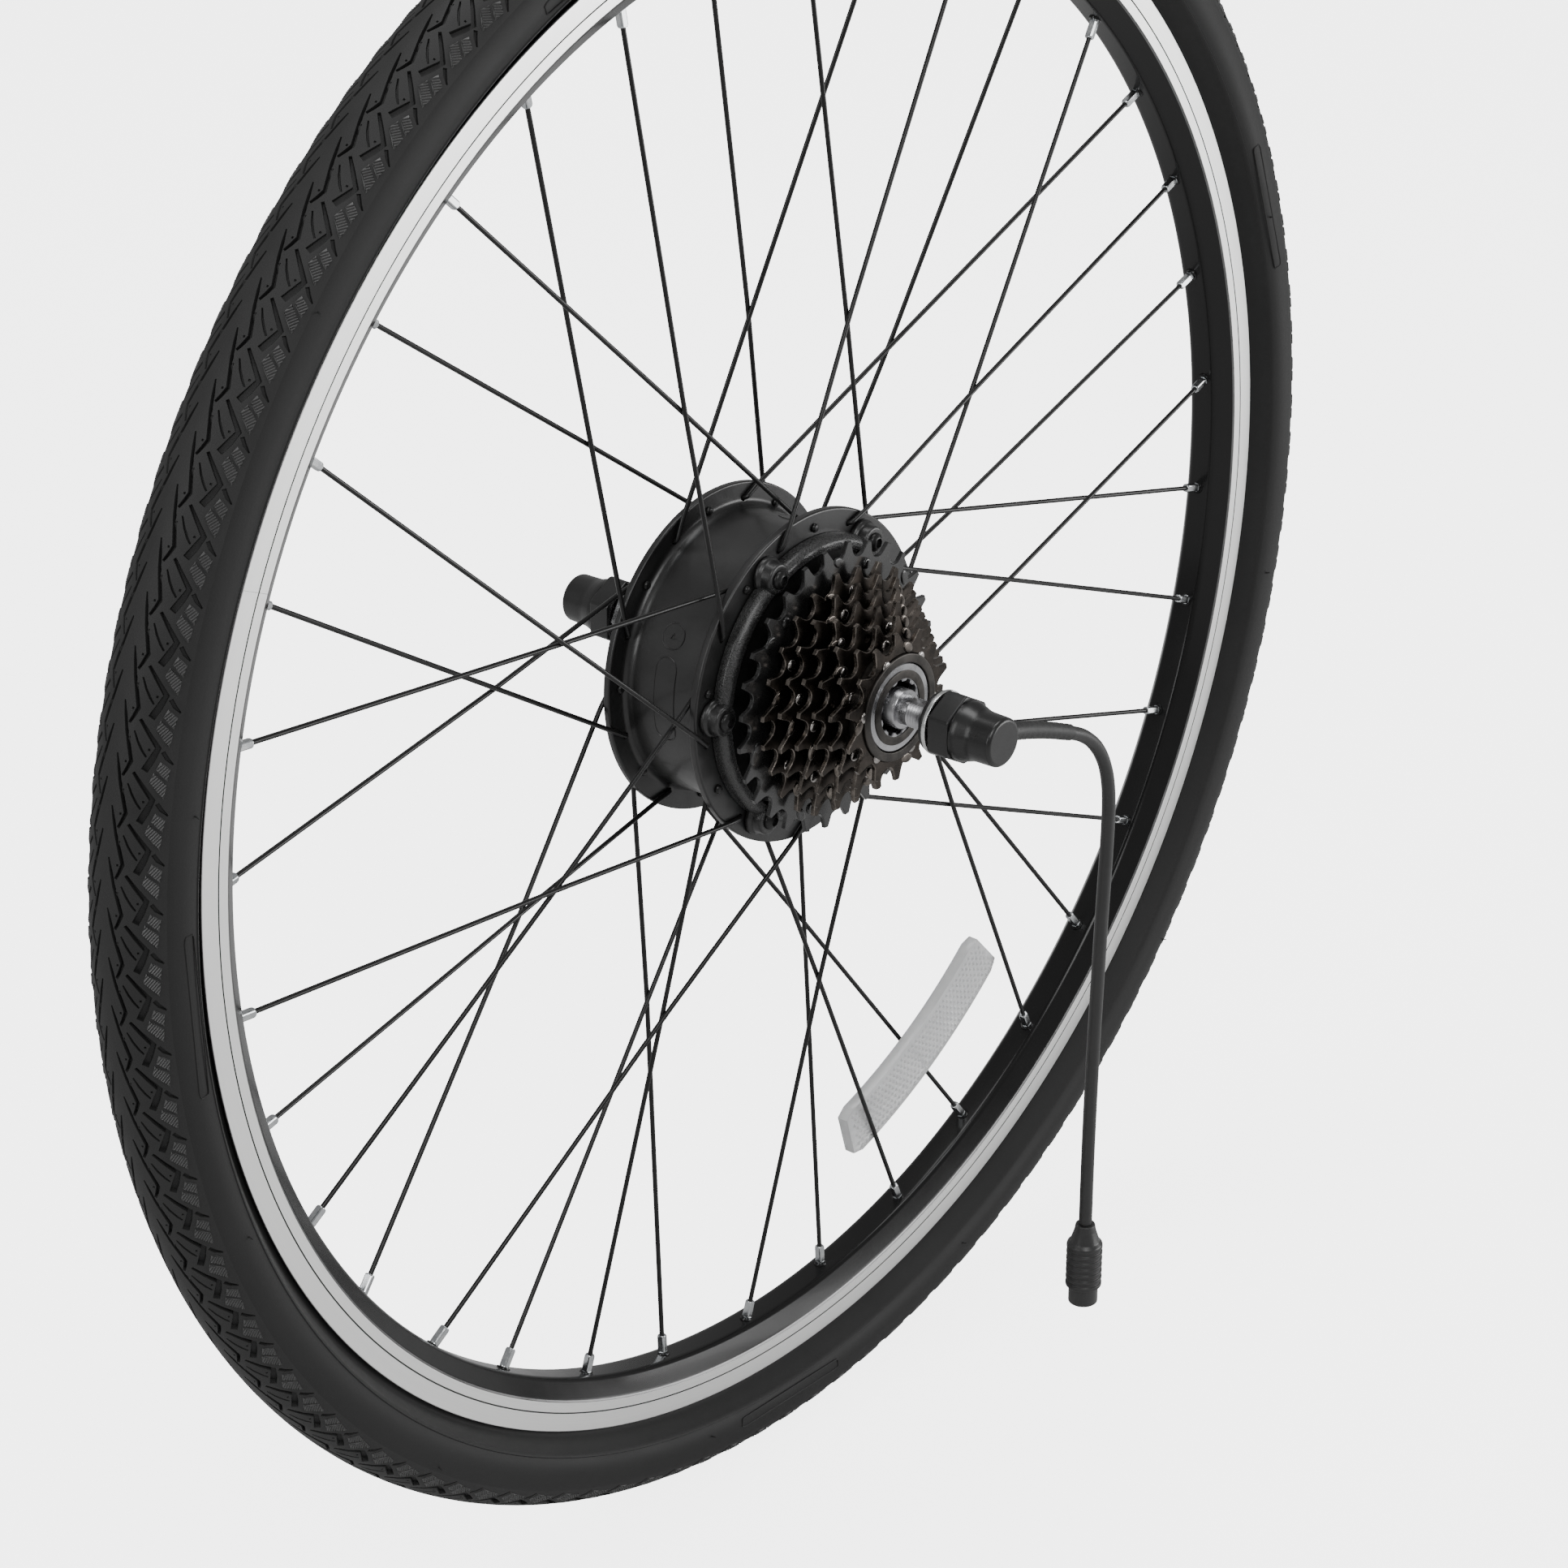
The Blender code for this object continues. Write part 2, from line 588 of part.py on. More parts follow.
def make_axle(parts, cutters):
    outline = [(0, -22), (3.2, -22), (3.2, -108), (5.4, -108), (6, -107.2), (6, -67.5), (8, -67.5),
               (8, -33.3), (6, -33.3), (6, 4.4), (12, 4.4), (12, 29), (6, 29), (6, 46.2), (9.5, 46.2),
               (9.5, 67.5), (6, 67.5), (6, 96.2), (5.4, 97), (0, 97)]
    axle = turned_mm("axle", outline, AXLE_STEPS, parts)
    flats = cutters("axle_flats")
    size = (20 * MM, 42 * MM, 10 * MM)
    for end in (-89, 89):
        for side in (-1, 1):
            box(f"flat_{end}_{side}", (0, end * MM, side * (AXLE_FLAT + 5 * MM)), size, 0, flats, True)
    combine(axle, "DIFFERENCE", flats)
    paint(axle, STEEL, 0.3, 1.0)


def make_nuts(parts):
    washer = turned_mm("drive_washer", ring_outline(6.4, 13, -86.6, -84.6), 24, parts)
    paint(washer, (0.7, 0.7, 0.7), 0.25, 1.0)
    corner = NUT_FLAT / math.cos(math.pi / 6)
    for name, base, out in (("drive_axle_nut", DRIVE_CAP_BASE, -1), ("left_axle_nut", LEFT_CAP_BASE, 1)):
        middle = base + out * (NUT_HEIGHT / 2 + GAP)
        nut = plate(name, [circle(corner, 6), bore(AXLE_RADIUS + GAP, 16)], middle, NUT_HEIGHT, parts)
        paint(nut, (0.6, 0.6, 0.6), 0.3, 1.0)


def make_cap(name, base, out, parts, cutters):
    """A hexagonal skirt over the nut, tapering to a round end."""
    outline = [(0, 28), (9.2, 28), (10, 27.2), (10.2, 17), (12, 11.5), (12, 0.2), (11, 0.2), (11, 9.6),
               (7.7, 12), (7.7, 25.6), (0, 25.6)]
    cap = turned(name, [(r * MM, base + out * h * MM) for r, h in outline], AXLE_STEPS, parts)
    skirt = cutters(f"{name}_skirt")
    middle = base + out * 5.2 * MM
    outlines = [circle(14 * MM, 6, 30), circle(11.5 * MM, AXLE_STEPS)]
    hexagon = plate(f"{name}_hexagon", outlines, middle, 9.2 * MM, skirt)
    as_mesh(hexagon, skirt, True)
    combine(cap, "UNION", skirt)
    paint(cap, (0.015, 0.015, 0.015), 0.4)


# ---------------------------------------------------------------- freewheel

def make_freewheel(parts):
    core = [(17.5, -27.4), (20, -27.4), (20, -60.5), (17.8, -60.5), (17.8, -64.5), (10.5, -64.5), (10.5, -40),
            (17.5, -40)]
    paint(turned_mm("freewheel_core", core, 20, parts), DARK_STEEL, 0.4, 0.9)
    body = [(20.4, -29), (24, -29), (24, -61.8), (21.8, -61.8), (21.8, -65), (18.2, -65), (18.2, -60.9),
            (20.4, -60.9)]
    paint(turned_mm("freewheel_body", body, 24, parts), DARK_STEEL, 0.4, 0.9)
    for i, teeth in enumerate(SPROCKET_TEETH):
        pitch_radius = CHAIN_PITCH / (2 * math.sin(math.pi / teeth))
        root, tip = pitch_radius - 3.9 * MM, pitch_radius + 2.8 * MM
        seat = LAST_SEAT_RADIUS if i == len(SPROCKET_TEETH) - 1 else FREEWHEEL_RADIUS
        points = []
        for tooth in range(teeth):
            for radius, share in ((root, -0.22), (tip, 0.0), (root, 0.22)):
                at = polar(radius, 360 * (tooth + share) / teeth)
                points.append((at.x, at.z))
        disc = plate(f"sprocket_{teeth}t", [points, bore(seat + GAP, 16)], SPROCKET_START + i * SPROCKET_STEP,
                     SPROCKET_THICKNESS, parts)
        paint(disc, DARK_STEEL, 0.35, 0.9)


# ---------------------------------------------------------------- cable

def make_cable(parts):
    sleeve = tube("cable_sleeve", smooth_path(SLEEVE_ROUTE, 2), SLEEVE_RADIUS, 2, parts)
    paint(sleeve, (0.02, 0.02, 0.02), 0.5)
    cable = tube("motor_cable", smooth_path(CABLE_ROUTE, CABLE_POINTS_PER_SPAN), CABLE_DIAMETER / 2, 2, parts)
    paint(cable, (0.015, 0.015, 0.015), 0.5)
    end = Vector(CABLE_ROUTE[-1]) * MM
    outline = [(0, -0.3), (4.2, -0.3), (6.2, -8), (7.6, -9), (7.6, -29), (6.2, -29.6), (6.2, -38), (0, -38)]
    plug = turned_mm("cable_connector", outline, 16, parts, upright=True)
    plug.location = end
    paint(plug, (0.02, 0.02, 0.02), 0.45)


def main():
    clear_scene()
    parts = new_collection(OBJECT_NAME)
    hidden = new_collection("cutters")

    def cutters(name):
        made = bpy.data.collections.new(name)
        hidden.children.link(made)
        return made

    make_tyre(parts)
    make_inner_tube(parts, cutters)
    make_rim(parts, cutters)
    make_spokes(parts, cutters)
    make_reflector(parts)
    make_hub_shell(parts, cutters)
    make_cover(parts, cutters)
    make_bearings(parts)
    make_gears(parts, cutters)
    make_motor(parts, cutters)
    make_axle(parts, cutters)
    make_nuts(parts)
    make_cap("drive_nut_cap", DRIVE_CAP_BASE, -1, parts, cutters)
    make_cap("left_nut_cap", LEFT_CAP_BASE, 1, parts, cutters)
    make_freewheel(parts)
    make_cable(parts)


main()
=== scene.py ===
"""Looks of the hub motor wheel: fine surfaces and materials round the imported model.

The axle lies along Y with the sprockets on the -Y side, +X is the way the bicycle rides and
+Z is up. Lengths are metres, except that outlines and routes are given in millimetres.
"""
import math

import bmesh
import bpy
from mathutils import Matrix, Vector
from mathutils.geometry import delaunay_2d_cdt


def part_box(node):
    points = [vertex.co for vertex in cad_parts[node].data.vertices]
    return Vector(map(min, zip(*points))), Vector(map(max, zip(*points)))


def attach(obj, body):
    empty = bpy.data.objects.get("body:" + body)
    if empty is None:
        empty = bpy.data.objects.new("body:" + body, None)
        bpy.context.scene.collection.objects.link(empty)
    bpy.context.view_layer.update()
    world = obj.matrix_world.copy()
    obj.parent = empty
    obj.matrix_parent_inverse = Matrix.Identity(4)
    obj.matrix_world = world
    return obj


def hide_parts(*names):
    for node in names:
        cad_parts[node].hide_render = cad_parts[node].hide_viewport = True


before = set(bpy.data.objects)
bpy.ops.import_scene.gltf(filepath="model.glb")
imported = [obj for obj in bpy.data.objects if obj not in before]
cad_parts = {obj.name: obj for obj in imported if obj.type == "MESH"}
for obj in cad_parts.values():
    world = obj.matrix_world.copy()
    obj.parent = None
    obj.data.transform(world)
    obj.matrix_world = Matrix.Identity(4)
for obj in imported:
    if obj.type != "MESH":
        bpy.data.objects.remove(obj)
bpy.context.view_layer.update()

MM = 0.001
ROUND_STEPS = 96
FINE_STEPS = 192
SHARP_ANGLE = math.radians(38)

# Camera
CAMERA_AZIMUTH = math.radians(-50.346)
CAMERA_ELEVATION = math.radians(26.031)
CAMERA_DISTANCE = 1.7455
CAMERA_TARGET = Vector((0.0079, 0, -0.0559))
CAMERA_LENS = 99.93
FLOOR_Z = -0.3512
WORLD_LIGHT = 0.4
WORLD_SEEN = 5.0
FLOOR_GLOW = 4.0

# Motor cable, from the end of its sleeve to its connector
CABLE_ROUTE = (
    (51.9, -108, -16.4),
    (59.5, -108, -20.2),
    (66.4, -108, -25.2),
    (72.2, -108, -31.6),
    (76.6, -108, -39.4),
    (79.3, -108, -48.4),
    (80.4, -108, -59),
    (80.2, -108, -74),
    (79.3, -108, -92),
    (78.2, -108, -112),
    (77.2, -108, -134),
    (76.5, -107.8, -157),
    (76.1, -107.5, -181),
    (76, -107.2, -205),
    (76, -107, -229),
    (76, -107, -252),
)
CABLE_DIAMETER = 5.6 * MM
SLEEVE_ROUTE = ((10.4, -108, -1.0), (24, -108, -5.2), (38, -108, -10.4), (51.6, -108, -16.2))

# Tyre: a torus section with its tread cut in pitches round the crown
SECTION_CENTRE = 331.2
SECTION_RADIUS = 19.8
CROWN_RADIUS = SECTION_CENTRE + SECTION_RADIUS
PITCHES = 120
PITCH_LENGTH = 2 * math.pi * CROWN_RADIUS / PITCHES
DEGREE_LENGTH = math.radians(SECTION_RADIUS)
TREAD_EDGE = 66
EDGE_SPLITS = 4

# Rim
BED_RADIUS = 296.5
TRACK_INNER = 304.7
RIM_RADIUS = 317
RIM_HALF = 11.4
WEAR_LINE = 309.1
RIM_JOINT = 155.6

# Spokes
SPOKES_PER_SIDE = 18
HOLE_PITCH = 360 / SPOKES_PER_SIDE
SPOKE_TWIST = 2 * HOLE_PITCH
PAIR_STEP = 3
SPOKE_RADIUS = 1.0
NIPPLE_TIP = 288.6
FLANGES = {
    "drive": {"hub_phase": 7.2, "rim_phase": 6.5, "circle": 62, "rim_y": -1.06,
              "outer": -19, "inner": -15.5, "out": -1, "outer_parity": 1},
    "left": {"hub_phase": 17.2, "rim_phase": 16.5, "circle": 61, "rim_y": 1.06,
             "outer": 28.5, "inner": 25.5, "out": 1, "outer_parity": 0},
}

# Hub and freewheel
SCREW_COUNT = 6
SCREW_CIRCLE = 58
SCREW_ANGLE = 56.8
CHAIN_PITCH = 12.7
SPROCKET_TEETH = (28, 24, 22, 20, 18, 16, 14)
VALVE_ANGLE = 81.5


# ---------------------------------------------------------------- materials

def new_material(name):
    made = bpy.data.materials.new(name)
    made.use_nodes = True
    return made, made.node_tree.nodes["Principled BSDF"]


def add_node(material, kind, **inputs):
    node = material.node_tree.nodes.new(kind)
    for key, value in inputs.items():
        node.inputs[key.replace("_", " ")].default_value = value
    return node


def join(material, output, target):
    material.node_tree.links.new(output, target)


def surface(name, dark, light, roughness, metallic=0.0, mottle=60, grain=900, bump=0.02, spread=0.06, coat=0.0,
            specular=0.5, coordinates="Object", stretch=(1, 1, 1)):
    """A material whose colour, roughness and fine relief vary over the surface."""
    made, shader = new_material(name)
    shader.inputs["Metallic"].default_value = metallic
    shader.inputs["Specular IOR Level"].default_value = specular
    shader.inputs["Coat Weight"].default_value = coat
    shader.inputs["Coat Roughness"].default_value = 0.08
    place = add_node(made, "ShaderNodeTexCoord")
    scaled = add_node(made, "ShaderNodeMapping", Scale=stretch)
    join(made, place.outputs[coordinates], scaled.inputs["Vector"])
    broad = add_node(made, "ShaderNodeTexNoise", Scale=mottle, Detail=4.0, Roughness=0.6)
    join(made, scaled.outputs["Vector"], broad.inputs["Vector"])
    ramp = add_node(made, "ShaderNodeValToRGB")
    ramp.color_ramp.elements[0].position = 0.3
    ramp.color_ramp.elements[1].position = 0.7
    ramp.color_ramp.elements[0].color = (*dark, 1)
    ramp.color_ramp.elements[1].color = (*light, 1)
    join(made, broad.outputs["Fac"], ramp.inputs["Fac"])
    join(made, ramp.outputs["Color"], shader.inputs["Base Color"])
    fine = add_node(made, "ShaderNodeTexNoise", Scale=grain, Detail=3.0)
    join(made, scaled.outputs["Vector"], fine.inputs["Vector"])
    rough = add_node(made, "ShaderNodeMapRange", From_Min=0.3, From_Max=0.7, To_Min=roughness - spread,
                     To_Max=roughness + spread)
    join(made, broad.outputs["Fac"], rough.inputs["Value"])
    join(made, rough.outputs["Result"], shader.inputs["Roughness"])
    relief = add_node(made, "ShaderNodeBump", Strength=1.0, Distance=bump * MM)
    join(made, fine.outputs["Fac"], relief.inputs["Height"])
    join(made, relief.outputs["Normal"], shader.inputs["Normal"])
    return made


def clear_plastic(name):
    made, shader = new_material(name)
    shader.inputs["Transmission Weight"].default_value = 0.6
    shader.inputs["IOR"].default_value = 1.49
    shader.inputs["Roughness"].default_value = 0.1
    place = add_node(made, "ShaderNodeTexCoord")
    noise = add_node(made, "ShaderNodeTexNoise", Scale=220.0, Detail=2.0)
    join(made, place.outputs["Object"], noise.inputs["Vector"])
    ramp = add_node(made, "ShaderNodeValToRGB")
    ramp.color_ramp.elements[0].color = (0.86, 0.87, 0.88, 1)
    ramp.color_ramp.elements[1].color = (1, 1, 1, 1)
    join(made, noise.outputs["Fac"], ramp.inputs["Fac"])
    join(made, ramp.outputs["Color"], shader.inputs["Base Color"])
    return made


def make_materials():
    grey = [(v, v, v) for v in (0.006, 0.009, 0.013, 0.018, 0.024, 0.032, 0.045)]
    return {
        "tread": surface("tread_rubber", grey[2], grey[3], 0.6, bump=0.05, mottle=45, grain=1500, specular=0.3),
        # knurled patches: a lighter grey than the tread, a painted sheen of the fine ridges
        "knurl": surface("knurled_rubber_painted_sheen", grey[5], grey[6], 0.5, bump=0.03, mottle=80, grain=1500, specular=0.6),
        "sidewall": surface("sidewall_rubber", grey[2], grey[3], 0.58, bump=0.03, mottle=18, grain=1200,
                            specular=0.22),
        "rim_black": surface("rim_gloss_black", grey[0], grey[0], 0.22, coat=0.1, bump=0.003, spread=0.03,
                             specular=0.2),
        "track": surface("machined_track", (0.9, 0.9, 0.89), (0.96, 0.96, 0.95), 0.38, 1.0, mottle=1.0, grain=1.0,
                         bump=0.012, coordinates="UV", stretch=(3, 2600, 1)),
        "chamfer": surface("track_chamfer", (0.12, 0.12, 0.12), (0.17, 0.17, 0.17), 0.3, 1.0, bump=0.01),
        "wear_line": surface("wear_line", (0.03, 0.03, 0.03), (0.06, 0.06, 0.06), 0.5, 0.5, bump=0.01),
        "spoke": surface("spoke_black", grey[0], grey[1], 0.3, bump=0.003, mottle=120, specular=0.3),
        "nipple": surface("nipple_zinc", (0.4, 0.42, 0.44), (0.56, 0.57, 0.57), 0.2, 1.0, mottle=400, bump=0.01),
        "hub": surface("hub_satin_black", grey[0], grey[1], 0.36, bump=0.02, mottle=40, grain=1600, coat=0.1),
        "cover": surface("cover_cast_black", grey[0], grey[2], 0.36, bump=0.07, mottle=60, grain=1100, coat=0.1),
        # cover lip: real cast grain in its bump, and a lighter grey than the cover, a painted highlight along the ridge
        "lip": surface("cover_lip_grain_and_painted_highlight", grey[1], grey[5], 0.3, bump=0.3, mottle=900, grain=1600, spread=0.1, coat=0.2),
        "screw": surface("screw_black", grey[2], grey[4], 0.32, 0.6, mottle=300, bump=0.01),
        "sprocket": surface("sprocket_brown_oxide", (0.02, 0.0165, 0.014), (0.05, 0.041, 0.034), 0.3, 0.9,
                            mottle=130, grain=700, bump=0.02, spread=0.1),
        # tooth edge faces and shift ramps: a lighter metal than the sprocket faces, a painted highlight
        "tooth": surface("tooth_edge_painted_highlight", (0.05, 0.043, 0.037), (0.22, 0.195, 0.175), 0.24, 1.0, mottle=260,
                         bump=0.012, spread=0.08),
        "black_sprocket": surface("sprocket_black_coat", grey[0], grey[1], 0.26, mottle=90, bump=0.01, coat=0.3),
        "rivet": surface("rivet_steel", (0.22, 0.2, 0.19), (0.5, 0.48, 0.46), 0.25, 1.0, mottle=500, bump=0.01),
        "freewheel": surface("freewheel_dark_steel", (0.03, 0.028, 0.026), (0.07, 0.065, 0.06), 0.36, 0.9,
                             mottle=150, bump=0.01, spread=0.1),
        "steel": surface("bright_steel", (0.3, 0.3, 0.31), (0.44, 0.44, 0.45), 0.27, 1.0, mottle=90, bump=0.01),
        "zinc": surface("washer_zinc", (0.55, 0.56, 0.56), (0.72, 0.72, 0.71), 0.26, 1.0, mottle=300, bump=0.01),
        "cap": surface("cap_black_plastic", grey[0], grey[1], 0.3, bump=0.012, mottle=70, grain=1800, spread=0.04),
        "seal": surface("seal_rubber", grey[3], grey[4], 0.55, bump=0.01, mottle=150),
        "jacket": surface("cable_jacket", grey[2], grey[3], 0.42, bump=0.012, mottle=90, grain=1500),
        "sleeve": surface("sleeve_rubber", grey[2], grey[3], 0.55, bump=0.03, mottle=90, grain=1200),
        "connector": surface("connector_plastic", grey[2], grey[3], 0.38, bump=0.015, mottle=100, grain=1700),
        "gear_steel": surface("gear_steel", (0.3, 0.3, 0.31), (0.45, 0.45, 0.46), 0.32, 1.0, mottle=120, bump=0.01),
        "nylon": surface("gear_nylon", (0.62, 0.6, 0.52), (0.74, 0.72, 0.64), 0.45, mottle=60, bump=0.01),
        "laminate": surface("stator_laminations", (0.2, 0.2, 0.21), (0.4, 0.4, 0.42), 0.4, 0.9, mottle=3, grain=30,
                            bump=0.05, stretch=(1, 600, 1)),
        "copper": surface("winding_copper", (0.42, 0.15, 0.05), (0.66, 0.27, 0.1), 0.3, 1.0, mottle=80, grain=900,
                          bump=0.1),
        "bell": surface("rotor_steel", (0.3, 0.3, 0.31), (0.42, 0.42, 0.43), 0.35, 1.0, mottle=100, bump=0.01),
        "tube": surface("tube_butyl", grey[2], grey[3], 0.5, bump=0.02, mottle=30),
        "brass": surface("valve_brass", (0.55, 0.42, 0.2), (0.68, 0.53, 0.28), 0.3, 1.0, mottle=300, bump=0.01),
        "clear": clear_plastic("reflector_clear"),
    }


# ---------------------------------------------------------------- shapes

def polar(radius, degrees, y=0.0):
    """A point in metres from a radius and a y in millimetres."""
    angle = math.radians(degrees)
    return Vector((radius * math.cos(angle), y, radius * math.sin(angle))) * MM


def rounded(points, cut=0.6, steps=3, closed=True):
    """An outline with its corners rounded; a third number on a point sets its own cut."""
    made = []
    count = len(points)
    for i, point in enumerate(points):
        here = Vector(point[:2])
        if not closed and i in (0, count - 1):
            made.append(tuple(here))
            continue
        before = Vector(points[i - 1][:2]) - here
        after = Vector(points[(i + 1) % count][:2]) - here
        reach = min(point[2] if len(point) > 2 else cut, 0.48 * before.length, 0.48 * after.length)
        if reach < 0.02 or abs(before.normalized().cross(after.normalized())) < 0.1:
            made.append(tuple(here))
            continue
        start = here + before.normalized() * reach
        end = here + after.normalized() * reach
        for step in range(steps + 1):
            t = step / steps
            made.append(tuple(start * (1 - t) ** 2 + here * 2 * t * (1 - t) + end * t ** 2))
    return made


def finish_mesh(mesh, flat_limit=SHARP_ANGLE):
    mesh.shade_smooth()
    mesh.set_sharp_from_angle(angle=flat_limit)
    return mesh


def turned(name, outline, steps=ROUND_STEPS, upright=False):
    """Mesh of an outline of (radius, height) millimetres turned about the axle, or about Z."""
    area = 0.0
    for (r0, h0), (r1, h1) in zip(outline, outline[1:] + outline[:1]):
        area += r0 * h1 - r1 * h0
    points = list(outline) if area > 0 else list(reversed(outline))
    closed = points[0][0] > 0 or points[-1][0] > 0
    verts, rings = [], []
    for radius, height in points:
        if radius <= 0:
            rings.append([len(verts)] * steps)
            verts.append((0, height * MM, 0))
            continue
        rings.append(list(range(len(verts), len(verts) + steps)))
        verts += [polar(radius, 360 * k / steps, height) for k in range(steps)]
    along = [0.0]
    for (r0, h0), (r1, h1) in zip(points, points[1:] + points[:1]):
        along.append(along[-1] + math.hypot(r1 - r0, h1 - h0) * MM)
    faces, uvs = [], []
    spans = len(points) if closed else len(points) - 1
    for i in range(spans):
        ring, after = rings[i], rings[(i + 1) % len(points)]
        reach = max(points[i][0], points[(i + 1) % len(points)][0]) * MM * 2 * math.pi / steps
        for k in range(steps):
            corners = [(ring[k], k, 0), (after[k], k, 1), (after[(k + 1) % steps], k + 1, 1),
                       (ring[(k + 1) % steps], k + 1, 0)]
            if corners[0][0] == corners[3][0]:
                corners.pop()
            elif corners[1][0] == corners[2][0]:
                corners.pop(2)
            faces.append([corner[0] for corner in corners])
            uvs += [(corner[1] * reach, along[i + corner[2]]) for corner in corners]
    mesh = bpy.data.meshes.new(name)
    mesh.from_pydata(verts, [], faces)
    layer = mesh.uv_layers.new(name="surface")
    layer.data.foreach_set("uv", [value for uv in uvs for value in uv])
    if upright:
        mesh.transform(Matrix.Rotation(math.pi / 2, 4, "X"))
    return finish_mesh(mesh)


def prism(name, outlines, y_middle, thickness, chamfer=0.0, round_steps=0):
    """Mesh of flat (x, z) millimetre outlines, holes included, across the axle."""
    curve = bpy.data.curves.new(name, "CURVE")
    curve.dimensions = "2D"
    curve.fill_mode = "BOTH"
    curve.extrude = (thickness / 2 - chamfer) * MM
    curve.bevel_depth = chamfer * MM
    curve.bevel_resolution = round_steps
    curve.offset = -chamfer * MM
    for outline in outlines:
        spline = curve.splines.new("POLY")
        spline.points.add(len(outline) - 1)
        for point, (x, z) in zip(spline.points, outline):
            point.co = (x * MM, -z * MM, 0, 1)
        spline.use_cyclic_u = True
    mesh = mesh_of(curve)
    mesh.transform(Matrix.Translation((0, y_middle * MM, 0)) @ Matrix.Rotation(-math.pi / 2, 4, "X"))
    return finish_mesh(mesh)


def mesh_of(curve):
    """A welded mesh from curve data."""
    obj = bpy.data.objects.new("temporary", curve)
    bpy.context.scene.collection.objects.link(obj)
    mesh = bpy.data.meshes.new_from_object(obj.evaluated_get(bpy.context.evaluated_depsgraph_get()))
    mesh.name = curve.name
    bpy.data.objects.remove(obj, do_unlink=True)
    shape = bmesh.new()
    shape.from_mesh(mesh)
    bmesh.ops.remove_doubles(shape, verts=shape.verts, dist=0.000001)
    shape.to_mesh(mesh)
    shape.free()
    return mesh


def wire(name, points, radius, resolution=3, factors=None, cyclic=False):
    """Curve data of a round wire through points in metres."""
    curve = bpy.data.curves.new(name, "CURVE")
    curve.dimensions = "3D"
    curve.bevel_depth = radius * MM
    curve.bevel_resolution = resolution
    curve.use_fill_caps = True
    spline = curve.splines.new("POLY")
    spline.points.add(len(points) - 1)
    for i, (point, place) in enumerate(zip(spline.points, points)):
        point.co = (*place, 1)
        point.radius = factors[i] if factors else 1
    spline.use_cyclic_u = cyclic
    return curve


def smooth_path(route, per_span):
    """Points in metres of a Catmull-Rom curve through a route in millimetres."""
    knots = [Vector(point) * MM for point in route]
    knots = [2 * knots[0] - knots[1], *knots, 2 * knots[-1] - knots[-2]]
    path = []
    for i in range(1, len(knots) - 2):
        before, here, there, after = knots[i - 1:i + 3]
        for step in range(per_span):
            t = step / per_span
            path.append(0.5 * (2 * here + (there - before) * t
                               + (2 * before - 5 * here + 4 * there - after) * t ** 2
                               + (3 * here - before - 3 * there + after) * t ** 3))
    path.append(knots[-2])
    return path


def bent_path(corners, cuts, steps=6):
    """A path through corners in metres, each bend rounded over its own cut in millimetres."""
    path = [corners[0]]
    for before, here, after, cut in zip(corners, corners[1:], corners[2:], cuts):
        back, on = before - here, after - here
        reach = min(cut * MM, 0.48 * back.length, 0.48 * on.length)
        start, end = here + back.normalized() * reach, here + on.normalized() * reach
        for step in range(steps + 1):
            t = step / steps
            path.append(start * (1 - t) ** 2 + here * 2 * t * (1 - t) + end * t ** 2)
    path.append(corners[-1])
    return path


def merged(name, meshes):
    """One mesh that holds several closed ones."""
    shape = bmesh.new()
    for mesh in meshes:
        shape.from_mesh(mesh)
    made = bpy.data.meshes.new(name)
    shape.to_mesh(made)
    shape.free()
    return finish_mesh(made)


def carved(mesh, tools, operation="DIFFERENCE"):
    """A mesh cut by, or joined with, another mesh."""
    body = bpy.data.objects.new("body", mesh)
    tool = bpy.data.objects.new("tool", tools)
    for obj in (body, tool):
        bpy.context.scene.collection.objects.link(obj)
    boolean = body.modifiers.new("Boolean", "BOOLEAN")
    boolean.operation = operation
    boolean.object = tool
    boolean.use_self = True
    made = bpy.data.meshes.new_from_object(body.evaluated_get(bpy.context.evaluated_depsgraph_get()))
    made.name = mesh.name
    bpy.data.objects.remove(body, do_unlink=True)
    bpy.data.objects.remove(tool, do_unlink=True)
    return finish_mesh(made)


def moved(mesh, matrix):
    copy = mesh.copy()
    copy.transform(matrix)
    return copy


def about_axle(degrees):
    return Matrix.Rotation(math.radians(-degrees), 4, "Y")


def add_piece(name, data, body, materials, replaces=(), matrix=None, weighted=False):
    """Put a piece in the scene, on its body, in the place of the CAD nodes that it stands for."""
    if not data.materials:
        for material in materials:
            data.materials.append(material)
    obj = bpy.data.objects.new(name, data)
    bpy.context.scene.collection.objects.link(obj)
    if matrix:
        obj.matrix_world = matrix
    if weighted:
        obj.modifiers.new("Weighted normals", "WEIGHTED_NORMAL").keep_sharp = True
    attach(obj, body)
    if replaces:
        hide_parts(*replaces)
    return obj


# ---------------------------------------------------------------- camera, floor and light

def make_camera():
    data = bpy.data.cameras.new("camera")
    data.lens = CAMERA_LENS
    data.sensor_width = 36
    camera = bpy.data.objects.new("camera", data)
    bpy.context.scene.collection.objects.link(camera)
    flat = CAMERA_DISTANCE * math.cos(CAMERA_ELEVATION)
    offset = Vector((math.sin(CAMERA_AZIMUTH) * flat, -math.cos(CAMERA_AZIMUTH) * flat,
                     CAMERA_DISTANCE * math.sin(CAMERA_ELEVATION)))
    camera.location = CAMERA_TARGET + offset
    camera.rotation_euler = (math.pi / 2 - CAMERA_ELEVATION, 0, CAMERA_AZIMUTH)
    bpy.context.scene.camera = camera


def make_lamp(name, location, target, size, power):
    data = bpy.data.lights.new(name, "AREA")
    data.shape = "RECTANGLE"
    data.size, data.size_y = size
    data.energy = power
    lamp = bpy.data.objects.new(name, data)
    lamp.location = location
    lamp.rotation_euler = (Vector(target) - Vector(location)).to_track_quat("-Z", "Y").to_euler()
    bpy.context.scene.collection.objects.link(lamp)


